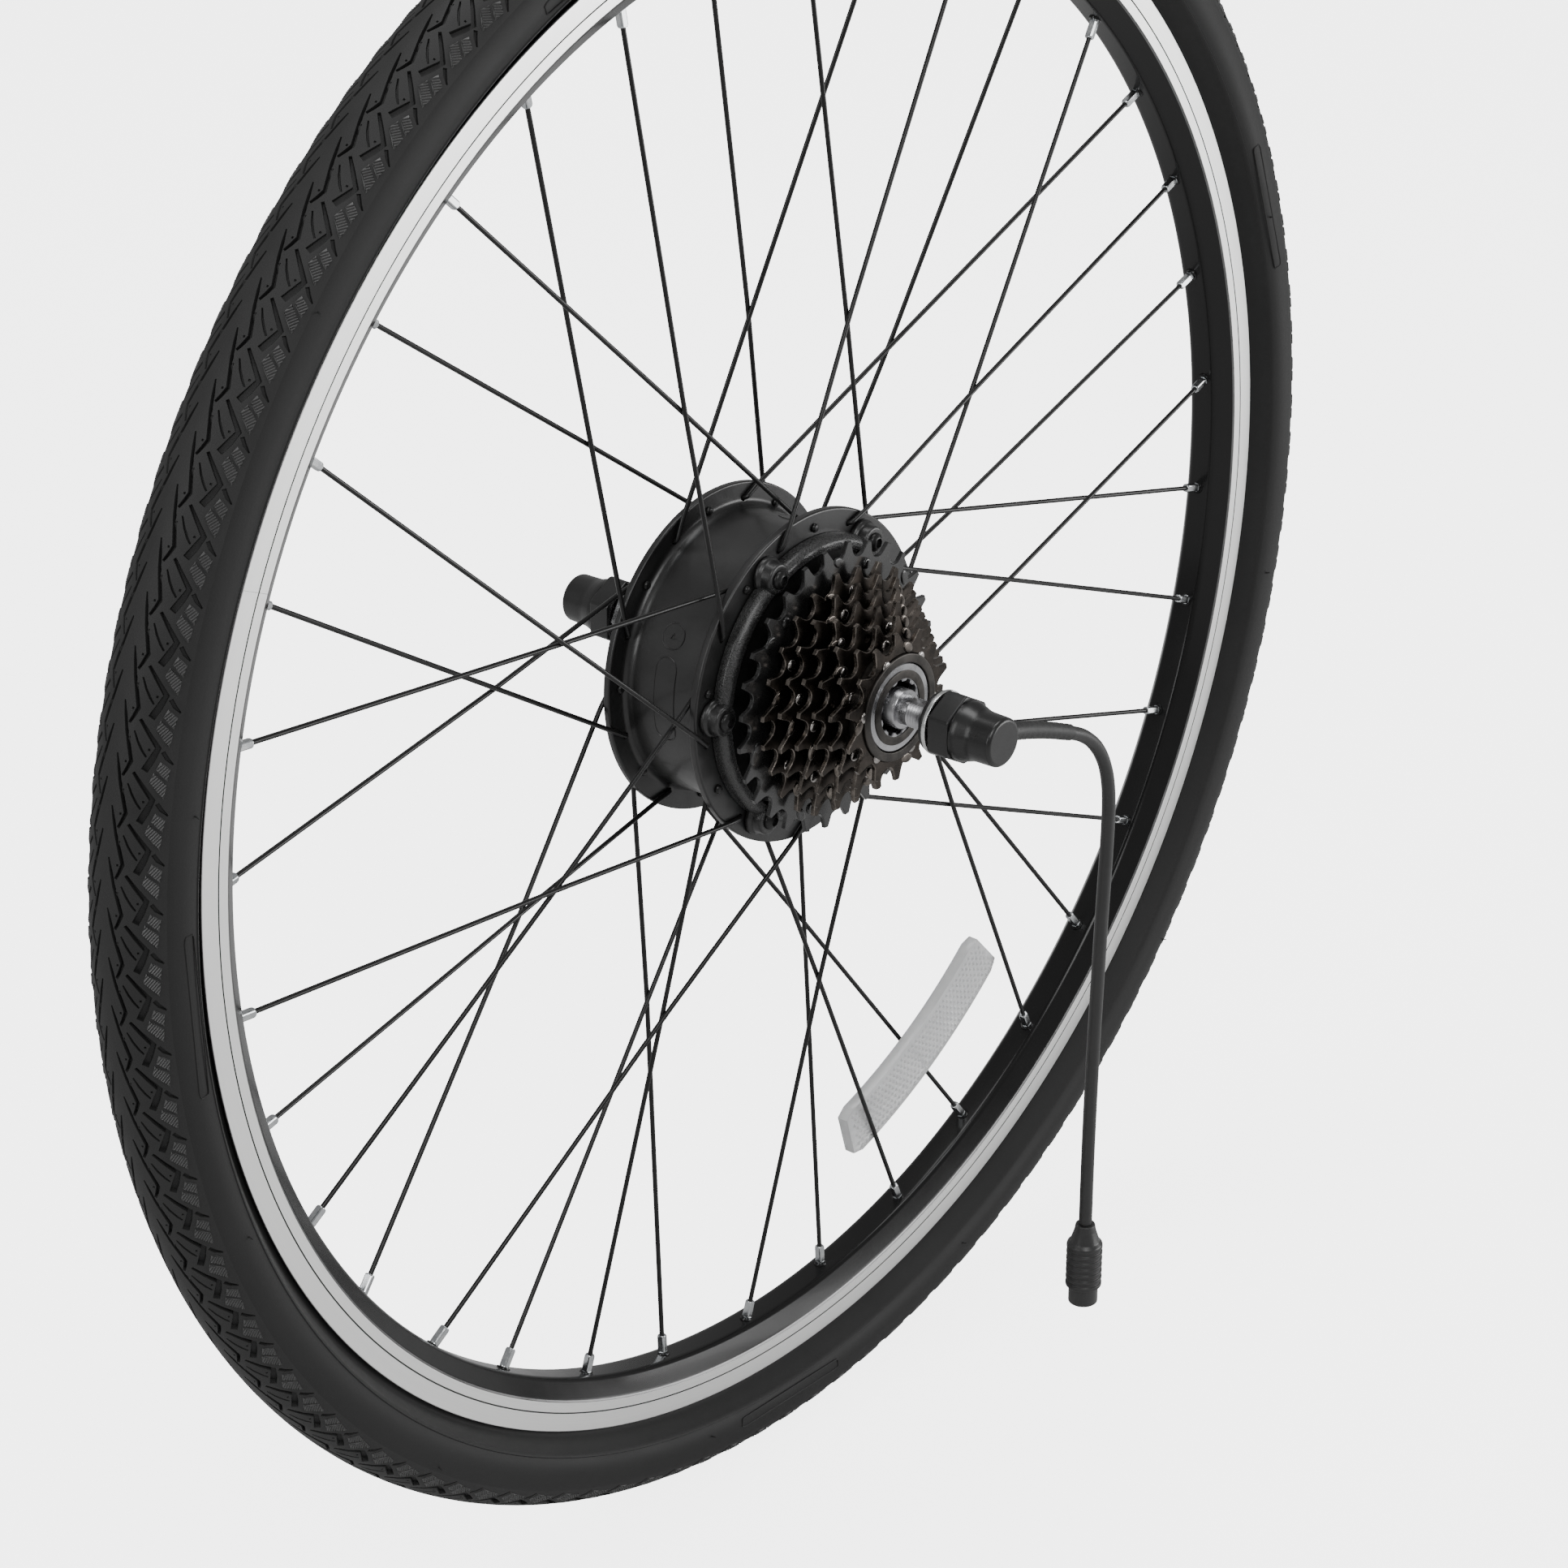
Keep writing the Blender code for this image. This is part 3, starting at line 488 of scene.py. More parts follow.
def make_studio():
    world = bpy.data.worlds.new("studio")
    bpy.context.scene.world = world
    world.use_nodes = True
    background = world.node_tree.nodes["Background"]
    background.inputs["Color"].default_value = (1, 1, 1, 1)
    rays = world.node_tree.nodes.new("ShaderNodeLightPath")
    strength = world.node_tree.nodes.new("ShaderNodeMapRange")
    strength.inputs["To Min"].default_value = WORLD_LIGHT
    strength.inputs["To Max"].default_value = WORLD_SEEN
    world.node_tree.links.new(rays.outputs["Is Camera Ray"], strength.inputs["Value"])
    world.node_tree.links.new(strength.outputs["Result"], background.inputs["Strength"])
    mesh = bpy.data.meshes.new("floor")
    shape = bmesh.new()
    bmesh.ops.create_grid(shape, x_segments=1, y_segments=1, size=12)
    shape.to_mesh(mesh)
    shape.free()
    floor = bpy.data.objects.new("floor", mesh)
    floor.location.z = FLOOR_Z
    bpy.context.scene.collection.objects.link(floor)
    pale, shader = new_material("pale_floor")
    shader.inputs["Base Color"].default_value = (0.6, 0.6, 0.6, 1)
    shader.inputs["Roughness"].default_value = 0.8
    shader.inputs["Emission Color"].default_value = (1, 1, 1, 1)
    rays = add_node(pale, "ShaderNodeLightPath")
    glow = add_node(pale, "ShaderNodeMapRange", To_Min=0.0, To_Max=FLOOR_GLOW)
    join(pale, rays.outputs["Is Camera Ray"], glow.inputs["Value"])
    join(pale, glow.outputs["Result"], shader.inputs["Emission Strength"])
    mesh.materials.append(pale)
    make_lamp("key", (-1.8, -2.2, 2.6), (0, 0, 0), (1.6, 1.6), 55)
    make_lamp("side", (-2.6, 0.6, 1.2), (0, 0, 0), (0.8, 2.0), 30)
    make_lamp("top", (0.4, 0.2, 2.8), (0, 0, 0), (2.2, 1.2), 45)
    make_lamp("low", (1.5, -1.7, 0.1), (0, 0, -0.1), (1.6, 1.0), 34)


# ---------------------------------------------------------------- cable

def make_cable(mat):
    path = smooth_path(CABLE_ROUTE, 6)
    cable = add_piece("cable_jacket", wire("cable_jacket", path, CABLE_DIAMETER / MM / 2, 4), "axle_assembly",
                      [mat["jacket"]], ["motor_cable"])
    low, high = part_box("cable_connector")
    middle = Vector(((low[0] + high[0]) / 2, (low[1] + high[1]) / 2, high[2]))
    outline = [(0, 0), (4.1, 0, 0.4), (4.6, -3), (6.2, -8), (7.4, -9.2, 0.3), (7.6, -10)]
    for rib in range(6):
        top = -11 - 3 * rib
        outline += [(7.6, top, 0.2), (7.0, top - 0.4, 0.2), (7.0, top - 1.4, 0.2), (7.6, top - 1.8, 0.2)]
    outline += [(7.6, -29.4, 0.3), (6.2, -30, 0.3), (6.2, -37.7, 0.5), (5.2, -37.7, 0.2), (5.2, -33, 0.2), (0, -33)]
    plug = turned("connector_shell", rounded(outline, 0.3, closed=False), upright=True)
    shell = add_piece("connector_shell", plug, "axle_assembly", [mat["connector"]],
                      ["cable_connector"], Matrix.Translation(middle))
    pins = []
    for k in range(9):
        radius = 0 if k == 0 else 3.1
        pin = turned("pin", [(0, -36.2), (0.45, -36), (0.5, -35.6), (0.5, -32.5), (0, -32.5)], 16, upright=True)
        spot = polar(radius, 45 * k)
        pins.append(moved(pin, Matrix.Translation((spot.x, spot.z, 0))))
    pin_set = add_piece("connector_pins", merged("connector_pins", pins), "axle_assembly",
                        [mat["brass"]], (), Matrix.Translation(middle))


def make_sleeve(mat):
    """A ribbed rubber sleeve that tapers towards the cable."""
    path = smooth_path(SLEEVE_ROUTE, 12)
    last = len(path) - 1
    factors = [1 - 0.12 * i / last - (0.05 if i % 3 == 2 else 0) for i in range(last + 1)]
    sleeve = finish_mesh(mesh_of(wire("cable_strain_relief", path, 3.8, 4, factors)))
    add_piece("cable_strain_relief", sleeve, "axle_assembly", [mat["sleeve"]], ["cable_sleeve"])


# ---------------------------------------------------------------- tyre

# Strokes of one pitch on the drive side half: pitch share round the tyre, degrees across it, width in mm
LONG_GROOVE = ((-0.79, 5, 0.6), (-0.53, 8.6, 1.2), (-0.24, 12.6, 1.4), (0.02, 17, 1.5), (0.29, 21.2, 1.5),
               (0.45, 17.8, 1.3), (0.6, 13.8, 1.0))
BLOCK_GROOVE = ((-0.51, 24.8, 1.2), (-0.27, 35.5, 1.6), (-0.03, 46.0, 1.9), (0.2, 41.2, 2.5), (0.43, 35.2, 2.5))
BLOCK_SIPE = ((-0.28, 20.4, 0.6), (-0.09, 25.5, 0.9), (0.067, 31, 0.9), (0.17, 35.6, 0.7))
SHOULDER_GROOVE = ((0.03, 50.8, 1.5), (0.15, 55.5, 1.5), (0.26, 62.5, 0.6))
PIN_HOLES = tuple(((share, degrees, 0.8), (share + 0.045, degrees, 0.8))
                  for share, degrees in ((0.0, 37.6), (-0.16, 16.2), (0.3, 15.6)))
TREAD_STROKES = ((LONG_GROOVE, 1.8), (BLOCK_GROOVE, 1.7), (BLOCK_SIPE, 1.0), (SHOULDER_GROOVE, 1.0),
                 *((hole, 0.7) for hole in PIN_HOLES))
# Two knurled patches of one pitch, as corners
KNURL_PATCHES = (((0.22, 49.8), (0.35, 60.2), (0.6, 58.6), (0.39, 46)),
                 ((0.44, 44.6), (0.66, 58.4), (0.95, 56.6), (0.64, 41)))
KNURL_DIRECTION = Vector((-0.76, 0.65))
KNURL_SPACING = 0.46
KNURL_HEIGHT = 0.38
# One side of a pitch, chosen to pass between the strokes: pitch share at degrees across
PITCH_EDGE = ((0, 0), (0.08, 4), (0.32, 8.6), (0.7, 13.4), (0.76, 16.4), (0.52, 21), (0.36, 24.6), (0.42, 29),
              (0.585, 34.4), (0.7, 39.2), (0.8, 44), (0.93, 49.5), (1.0, 53), (1.06, 57.5), (1.1, 62), (1.1, 66))
WALL_STEP = 0.2


def flat_point(share, degrees):
    return Vector((share * PITCH_LENGTH, degrees * DEGREE_LENGTH))


def stroke_outline(stroke, inset):
    """The outline of a stroke, shrunk by an inset in mm."""
    points = [flat_point(share, degrees) for share, degrees, width in stroke]
    left, right = [], []
    for i, (share, degrees, width) in enumerate(stroke):
        into = (points[i] - points[i - 1]).normalized() if i else (points[1] - points[0]).normalized()
        out = (points[i + 1] - points[i]).normalized() if i < len(points) - 1 else into
        along = (into + out).normalized()
        across = Vector((-along.y, along.x)) * (width / 2 - inset) / max(0.62, along.dot(out))
        at = points[i]
        if i == 0:
            at = at + along * inset
        if i == len(points) - 1:
            at = at - along * inset
        left.append(at + across)
        right.append(at - across)
    return left + right[::-1]


def inside(point, outline):
    within = False
    for a, b in zip(outline, outline[1:] + outline[:1]):
        if (a.y > point.y) != (b.y > point.y):
            if point.x < a.x + (b.x - a.x) * (point.y - a.y) / (b.y - a.y):
                within = not within
    return within


def clipped(start, direction, outline):
    """The stretch of a line inside a convex outline, or None."""
    low, high = -1000.0, 1000.0
    for a, b in zip(outline, outline[1:] + outline[:1]):
        side = b - a
        across = side.cross(direction)
        if abs(across) < 1e-9:
            continue
        t = (a - start).cross(side) / direction.cross(side)
        if across > 0:
            low = max(low, t)
        else:
            high = min(high, t)
    return (low, high) if high - low > 1.2 else None


def tread_tile():
    """One pitch of one half of the tread as flat points, heights, faces and material numbers."""
    edge = [flat_point(share - 1, degrees) for share, degrees in PITCH_EDGE]
    step = Vector((PITCH_LENGTH, 0))
    top = [edge[-1] + step * k / EDGE_SPLITS for k in range(1, EDGE_SPLITS)]
    bottom = [edge[0] + step * k / EDGE_SPLITS for k in range(1, EDGE_SPLITS)]
    boundary = [edge[0], *bottom, *[point + step for point in edge], *top[::-1], *edge[:0:-1]]
    points, heights, faces, edges = list(boundary), [0.0] * len(boundary), [list(range(len(boundary)))], []
    outers = []
    for stroke, depth in TREAD_STROKES:
        for inset, height in ((0.0, 0.0), (WALL_STEP, -depth)):
            outline = stroke_outline(stroke, inset)
            faces.append(list(range(len(points), len(points) + len(outline))))
            points += outline
            heights += [height] * len(outline)
            if not inset:
                outers.append(outline)
    first_patch = len(faces)
    for patch in KNURL_PATCHES:
        outline = [flat_point(*corner) for corner in patch]
        if sum(a.cross(b) for a, b in zip(outline, outline[1:] + outline[:1])) < 0:
            outline.reverse()
        faces.append(list(range(len(points), len(points) + len(outline))))
        points += outline
        heights += [-0.05] * len(outline)
        outers.append(outline)
        across = Vector((-KNURL_DIRECTION.y, KNURL_DIRECTION.x)).normalized()
        reach = [corner.dot(across) for corner in outline]
        count = int((max(reach) - min(reach)) / KNURL_SPACING)
        middle = sum(outline, Vector((0, 0))) / len(outline)
        for line in range(1, count):
            shift = min(reach) + line * KNURL_SPACING - middle.dot(across)
            start = middle + across * shift
            span = clipped(start, KNURL_DIRECTION.normalized(), outline)
            if span:
                ends = [start + KNURL_DIRECTION.normalized() * (t + s) for t, s in zip(span, (0.25, -0.25))]
                edges.append((len(points), len(points) + 1))
                points += ends
                heights += [KNURL_HEIGHT if line % 2 else -0.05] * 2
    for row in range(1, int(TREAD_EDGE / 8)):
        degrees = 8 * row
        left = next(a for a, b in zip(PITCH_EDGE, PITCH_EDGE[1:]) if a[1] <= degrees <= b[1])
        right = next(b for a, b in zip(PITCH_EDGE, PITCH_EDGE[1:]) if a[1] <= degrees <= b[1])
        share = left[0] + (right[0] - left[0]) * (degrees - left[1]) / (right[1] - left[1])
        for k in range(1, 6):
            point = flat_point(share - 1 + k / 6, degrees)
            near = any(inside(point + Vector(d), o) for o in outers for d in ((0, 0), (1, 0), (-1, 0), (0, 1), (0, -1)))
            if not near:
                points.append(point)
                heights.append(0.0)
    made = delaunay_2d_cdt(points, edges, faces, 1, 0.00001)
    verts, _, tris, sources, _, owners = made
    lifts = [min((heights[s] for s in source), key=lambda h: -abs(h)) if source else 0.0 for source in sources]
    # faces inside the knurled patches, which take the lighter grey of painted sheen
    knurled = [int(any(owner >= first_patch for owner in owned)) for owned in owners]
    return verts, lifts, tris, knurled


def section_point(theta, phi, height):
    """A point of the tyre: degrees round the wheel, degrees across the section, height in mm."""
    reach = SECTION_RADIUS + height
    radius = SECTION_CENTRE + reach * math.cos(math.radians(phi))
    return polar(radius, theta, -reach * math.sin(math.radians(phi)))


def casing_profile():
    """(degrees across, height) from the drive side edge of the tread over the bead to the other edge."""
    wall = [(338, 18.6), (336.3, 19.1), (333.4, 19.68), (331.2, 19.8), (329, 19.5), (327, 18.8), (325.6, 18),
            (325.2, 18.3), (324.4, 17.8), (323.8, 16.7), (322.3, 14.9), (320.9, 12.8), (319.6, 10.9), (318.4, 9.5),
            (317, 8.9), (311.6, 9), (311.6, 5.6), (318, 6.8), (321, 9.6), (324.6, 13), (329, 15.6)]
    half = []
    for radius, y in wall:
        across = Vector((radius - SECTION_CENTRE, y))
        half.append((math.degrees(math.atan2(across.y, across.x)), across.length - SECTION_RADIUS))
    half += [(phi, -3.6) for phi in (84, 66, 45, 22)]
    return half + [(0, -4.2)] + [(-phi, height) for phi, height in reversed(half)]


def make_tyre(mat):
    verts, lifts, tris, knurled = tread_tile()
    points, faces, numbers = [], [], []
    share = 360 / PITCHES
    for half in (1, -1):
        shift = 0 if half > 0 else 0.5
        for pitch in range(PITCHES):
            base = len(points)
            for vert, lift in zip(verts, lifts):
                theta = (vert.x / PITCH_LENGTH + pitch + shift) * share
                points.append(section_point(theta, half * vert.y / DEGREE_LENGTH, lift))
            for tri in tris:
                order = tri if half > 0 else tri[::-1]
                faces.append([base + v for v in order])
            numbers += knurled
    profile = [(TREAD_EDGE, 0.0), *casing_profile(), (-TREAD_EDGE, 0.0)]
    steps = PITCHES * EDGE_SPLITS
    phase = PITCH_EDGE[-1][0] * share
    base = len(points)
    for phi, height in profile:
        points += [section_point(phase + 360 * k / steps, phi, height) for k in range(steps)]
    for i in range(len(profile) - 1):
        for k in range(steps):
            a, b = base + i * steps + k, base + i * steps + (k + 1) % steps
            faces.append([a, b, b + steps, a + steps])
            numbers.append(2)
    mesh = bpy.data.meshes.new("tyre_tread_and_walls")
    mesh.from_pydata(points, [], faces)
    mesh.polygons.foreach_set("material_index", numbers)
    shape = bmesh.new()
    shape.from_mesh(mesh)
    bmesh.ops.remove_doubles(shape, verts=shape.verts, dist=0.00002)
    shape.to_mesh(mesh)
    shape.free()
    finish_mesh(mesh, math.radians(30))
    add_piece("tyre_tread_and_walls", mesh, "wheel", [mat["tread"], mat["knurl"], mat["sidewall"]],
              ["tyre"])


def make_wall_marks(mat):
    """Blank moulded frames and vent hairs on both walls of the tyre."""
    outline = []
    for corner_phi, corner_theta, start in ((4, 5, 0), (-4, 5, 90), (-4, -5, 180), (4, -5, 270)):
        for k in range(5):
            angle = math.radians(start + 22.5 * k)
            outline.append((corner_phi + 2.4 * math.cos(angle), corner_theta + 0.5 * math.sin(angle)))
    frames = []
    for side in (1, -1):
        for theta in (20, 110, 182, 268):
            path = [section_point(theta + t, side * (92 + p), 0.0) for p, t in outline]
            frames.append(mesh_of(wire("frame", path, 0.3, 1, cyclic=True)))
    add_piece("tyre_wall_frames", merged("tyre_wall_frames", frames), "wheel", [mat["sidewall"]])
    hairs = []
    for k in range(24):
        side = 1 if k % 2 else -1
        phi = side * (94 if k % 3 else 72)
        theta = 15 * k + 4
        root, tip = section_point(theta, phi, 0.0), section_point(theta + 0.1, phi, 1.8)
        hairs.append(mesh_of(wire("hair", [root, tip], 0.35, 1, [1, 0.6])))
    add_piece("tyre_vent_hairs", merged("tyre_vent_hairs", hairs), "wheel", [mat["sidewall"]])


def make_inner_tube(mat):
    ring = [(SECTION_CENTRE + 13 * math.cos(a), 13 * math.sin(a)) for a in (i * math.pi / 12 for i in range(24))]
    add_piece("tube_ring", turned("tube_ring", ring), "wheel", [mat["tube"]], ["inner_tube"])
    stem = [(0, 323), (4, 323), (4, 300)]
    for turn in range(28):
        top = 299.5 - turn * 0.9
        stem += [(4, top), (3.6, top - 0.45)]
    stem += [(3.6, 272.4), (0, 272)]
    matrix = valve_frame()
    add_piece("valve_stem", turned("valve_stem", stem, 32, upright=True), "wheel", [mat["brass"]], (),
              matrix)
    nut = [(x, z) for x, z in ((6 * math.cos(a), 6 * math.sin(a)) for a in (i * math.pi / 3 for i in range(6)))]
    hexagon = prism("valve_nut", [nut], 0, 3, 0.3)
    hexagon.transform(Matrix.Translation((0, 0, 294.6 * MM)) @ Matrix.Rotation(math.pi / 2, 4, "X"))
    add_piece("valve_nut", hexagon, "wheel", [mat["zinc"]], (), matrix)
    cap = rounded([(0, 276.5), (4.9, 276.5), (5, 275.5), (4.8, 266), (3.4, 264), (0, 264)], 0.8, closed=False)
    add_piece("valve_cap", turned("valve_cap", cap, 24, upright=True), "wheel", [mat["cap"]], (), matrix)


def valve_frame():
    """Turns the upward Z of the valve's pieces to the valve's angle on the wheel."""
    return about_axle(VALVE_ANGLE - 90)


# ---------------------------------------------------------------- rim

def make_rim(mat):
    half = [(BED_RADIUS, 0), (BED_RADIUS, 5.6, 1.8), (303.6, 10.7, 0.4), (304.5, 11.2, 0.1), (304.75, RIM_HALF, 0.1),
            (WEAR_LINE - 0.3, RIM_HALF, 0.05), (WEAR_LINE - 0.15, 11.1, 0.05), (WEAR_LINE + 0.15, 11.1, 0.05),
            (WEAR_LINE + 0.3, RIM_HALF, 0.05), (RIM_RADIUS, RIM_HALF, 0.5), (RIM_RADIUS, 9.6, 0.4),
            (313.4, 9.9, 0.4), (311, 9.5, 0.3), (311, 8, 0.6), (307.4, 5.2, 1.0), (307.4, 0)]
    other = [(radius, -y, *cut) for radius, y, *cut in reversed(half[1:-1])]
    mesh = turned("rim_extrusion", rounded(half + other, 0.4), 288)
    for face in mesh.polygons:
        centre = face.center
        radius = math.hypot(centre.x, centre.z) / MM
        y = abs(centre.y) / MM
        face.material_index = 0
        if y > 11.02 and radius > 304.0:
            face.material_index = 2 if radius < 304.76 else 1
            if abs(radius - WEAR_LINE) < 0.3:
                face.material_index = 3
    add_piece("rim_extrusion", mesh, "wheel",
              [mat["rim_black"], mat["track"], mat["chamfer"], mat["wear_line"]], ["rim"], weighted=True)
    joint = []
    for side in (1, -1):
        for inner, outer in ((304.8, WEAR_LINE - 0.4), (WEAR_LINE + 0.4, 316.6)):
            ends = [polar(radius, RIM_JOINT, side * (RIM_HALF - 0.02)) for radius in (inner, outer)]
            joint.append(mesh_of(wire("joint", ends, 0.07, 1)))
    add_piece("rim_joint", merged("rim_joint", joint), "wheel", [mat["chamfer"]])
    seats = []
    for spoke in all_spokes():
        outline = [(2.05, -0.35), (2.7, -0.35), (2.9, 0.1), (2.9, 0.6), (2.05, 0.6)]
        ring = turned("seat", outline, 20, upright=True)
        facing = spoke["direction"].to_track_quat("Z", "Y").to_matrix().to_4x4()
        seats.append(moved(ring, Matrix.Translation(spoke["rim"]) @ facing))
    add_piece("nipple_seats", merged("nipple_seats", seats), "wheel", [mat["rim_black"]])


# ---------------------------------------------------------------- spokes

def spoke_ends(side_name, index):
    side = FLANGES[side_name]
    twist = SPOKE_TWIST if index % 2 == 0 else -SPOKE_TWIST
    hub_angle = side["hub_phase"] + HOLE_PITCH * index
    outside = index % 2 == side["outer_parity"]
    out = side["out"] if outside else -side["out"]
    leave = side["outer"] if outside else side["inner"]
    opposite = side["inner"] if outside else side["outer"]
    start = polar(side["circle"], hub_angle, leave + out * (SPOKE_RADIUS + 0.3))
    end = polar(BED_RADIUS, side["rim_phase"] + HOLE_PITCH * index + twist, side["rim_y"])
    return {"hub": start, "rim": end, "out": out, "leave": leave * MM, "opposite": opposite * MM,
            "direction": (end - start).normalized(), "side": side_name, "index": index}


def all_spokes():
    return [spoke_ends(side, index) for side in FLANGES for index in range(SPOKES_PER_SIDE)]


def crossing(first, second):
    """The shares of two spokes' lengths at which they cross, seen along the axle."""
    a, b = first["hub"], first["rim"] - first["hub"]
    c, d = second["hub"], second["rim"] - second["hub"]
    scale = b.x * d.z - b.z * d.x
    gap = c - a
    return (gap.x * d.z - gap.z * d.x) / scale, (gap.x * b.z - gap.z * b.x) / scale


def spoke_shape(side_name, parity):
    """The mesh of a spoke of one parity, and the place and direction of its nipple."""
    this = spoke_ends(side_name, parity)
    partner = spoke_ends(side_name, parity + PAIR_STEP if parity == 0 else parity - PAIR_STEP)
    share, other_share = crossing(this, partner)
    y = this["hub"].y + share * (this["rim"].y - this["hub"].y)
    partner_y = partner["hub"].y + other_share * (partner["rim"].y - partner["hub"].y)
    hub, rim, out = this["hub"], this["rim"], this["out"]
    cross = hub + share * (rim - hub)
    cross.y = (y + partner_y) / 2 + math.copysign(SPOKE_RADIUS * MM, y - partner_y)
    flat = Vector((this["direction"].x, 0, this["direction"].z)).normalized()
    root = Vector((hub.x, this["opposite"] - out * 0.2 * MM, hub.z))
    clear = hub + flat * 9 * MM
    last = (rim - cross).normalized()
    tip = rim - last * (BED_RADIUS - NIPPLE_TIP - 0.6) * MM
    path = bent_path([root, hub, clear, cross, tip], [2.6, 4, 8])
    curve = wire(f"spoke_{side_name}_{parity}", path, SPOKE_RADIUS, 3)
    return finish_mesh(mesh_of(curve)), this, rim, last


def nipple_mesh():
    """A nipple along +Z with its seat at 0: four flats, then a round collar."""
    outline = [(0, 3), (1.9, 3), (1.95, 0.4), (1.95, -0.8, 0.2), (2.05, -1.2, 0.3), (2.05, -7.6, 0.3),
               (1.7, -8.3, 0.3), (1.15, -8.3), (0, -8.3)]
    mesh = turned("nipple", rounded(outline, 0.2, closed=False), 24, upright=True)
    flat = 1.65 * MM
    for vert in mesh.vertices:
        if vert.co.z < -1.0 * MM:
            vert.co.x = min(flat, max(-flat, vert.co.x))
            vert.co.y = min(flat, max(-flat, vert.co.y))
    return finish_mesh(mesh, math.radians(25))


def make_spokes(mat):
    nipple = nipple_mesh()
    dome = rounded([(0, 1.3), (1.3, 1.15), (1.85, 0.4), (1.85, -0.1), (1.2, -0.5), (0, -0.5)], 0.4, closed=False)
    head = turned("spoke_head", dome, 24, upright=True)
    number = 0
    for side_name in FLANGES:
        shapes = [spoke_shape(side_name, parity) for parity in (0, 1)]
        for index in range(SPOKES_PER_SIDE):
            number += 1
            shape, base, rim, last = shapes[index % 2]
            turn = about_axle(HOLE_PITCH * (index - index % 2))
            stands_for = []
            if index % 2 == 0:
                pair = (0 if side_name == "drive" else SPOKES_PER_SIDE // 2) + index // 2 + 1
                stands_for = [f"spoke_pair_{pair:02d}"]
            add_piece(f"spoke_{number:02d}", shape, "wheel", [mat["spoke"]], stands_for, turn)
            facing = last.to_track_quat("Z", "Y").to_matrix().to_4x4()
            add_piece(f"nipple_{number:02d}", nipple, "wheel", [mat["nipple"]], (),
                      turn @ Matrix.Translation(rim) @ facing)
            outward = Matrix.Rotation(math.pi / 2 * base["out"], 4, "X")
            spot = Vector((base["hub"].x, base["opposite"] - base["out"] * 0.3 * MM, base["hub"].z))
            add_piece(f"spoke_head_{number:02d}", head, "wheel", [mat["spoke"]], (),
                      turn @ Matrix.Translation(spot) @ outward)


# ---------------------------------------------------------------- reflector

REFLECTOR_CIRCLE = 239.3
REFLECTOR_ANGLE = -65.4
REFLECTOR_HALF_WIDTH = 12
REFLECTOR_HALF_SWEEP = 13
REFLECTOR_TILT = 4.6


def make_reflector(mat):
    """A clear bar bent round the wheel's centre, with bands of small prisms on both faces."""
    centre = polar(REFLECTOR_CIRCLE, REFLECTOR_ANGLE)
    turn = Matrix.Translation(centre) @ about_axle(REFLECTOR_TILT) @ Matrix.Translation(-centre)
    corners = []
    for sweep in range(-12, 13):
        corners.append((-1, sweep / 12))
    for sweep in range(12, -13, -1):
        corners.append((1, sweep / 12))
    outline = []
    for side, sweep in corners:
        shrink = 0.965 if abs(sweep) == 1 else 1.0
        at = polar(REFLECTOR_CIRCLE + side * REFLECTOR_HALF_WIDTH * (0.8 if abs(sweep) == 1 else 1.0),
                   REFLECTOR_ANGLE + REFLECTOR_HALF_SWEEP * sweep * (1.0 if shrink < 1 else 0.985))
        outline.append((at.x / MM, at.z / MM))
    bar = prism("reflector_bar", [outline], 0.4, 5.6, 0.8, 1)
    add_piece("reflector_bar", bar, "wheel", [mat["clear"]], ["spoke_reflector"], turn)
    cells = []
    for face in (-1, 1):
        for row in range(8):
            radius = REFLECTOR_CIRCLE - 9.1 + 2.6 * row
            for column in range(36):
                angle = REFLECTOR_ANGLE + (column - 17.5 + 0.5 * (row % 2)) * 0.69
                cells.append((radius, angle, face))
    verts, faces = [], []
    for radius, angle, face in cells:
        base = len(verts)
        low = 0.4 + face * 2.75
        for step, reach in ((0, -1.25), (0.33, 0), (0, 1.25), (-0.33, 0)):
            verts.append(polar(radius + reach, angle + step, low))
        verts.append(polar(radius, angle, low + face * 0.75))
        ring = [0, 1, 2, 3] if face > 0 else [3, 2, 1, 0]
        faces += [[base + ring[k], base + ring[(k + 1) % 4], base + 4] for k in range(4)]
        faces.append([base + k for k in reversed(ring)])
    mesh = bpy.data.meshes.new("reflector_prisms")
    mesh.from_pydata(verts, [], faces)
    add_piece("reflector_prisms", mesh, "wheel", [mat["clear"]], (), turn)


# ---------------------------------------------------------------- hub

def cylinder_along_y(radius, low, high, steps=20):
    return turned("cylinder", [(0, low), (radius, low), (radius, high), (0, high)], steps)


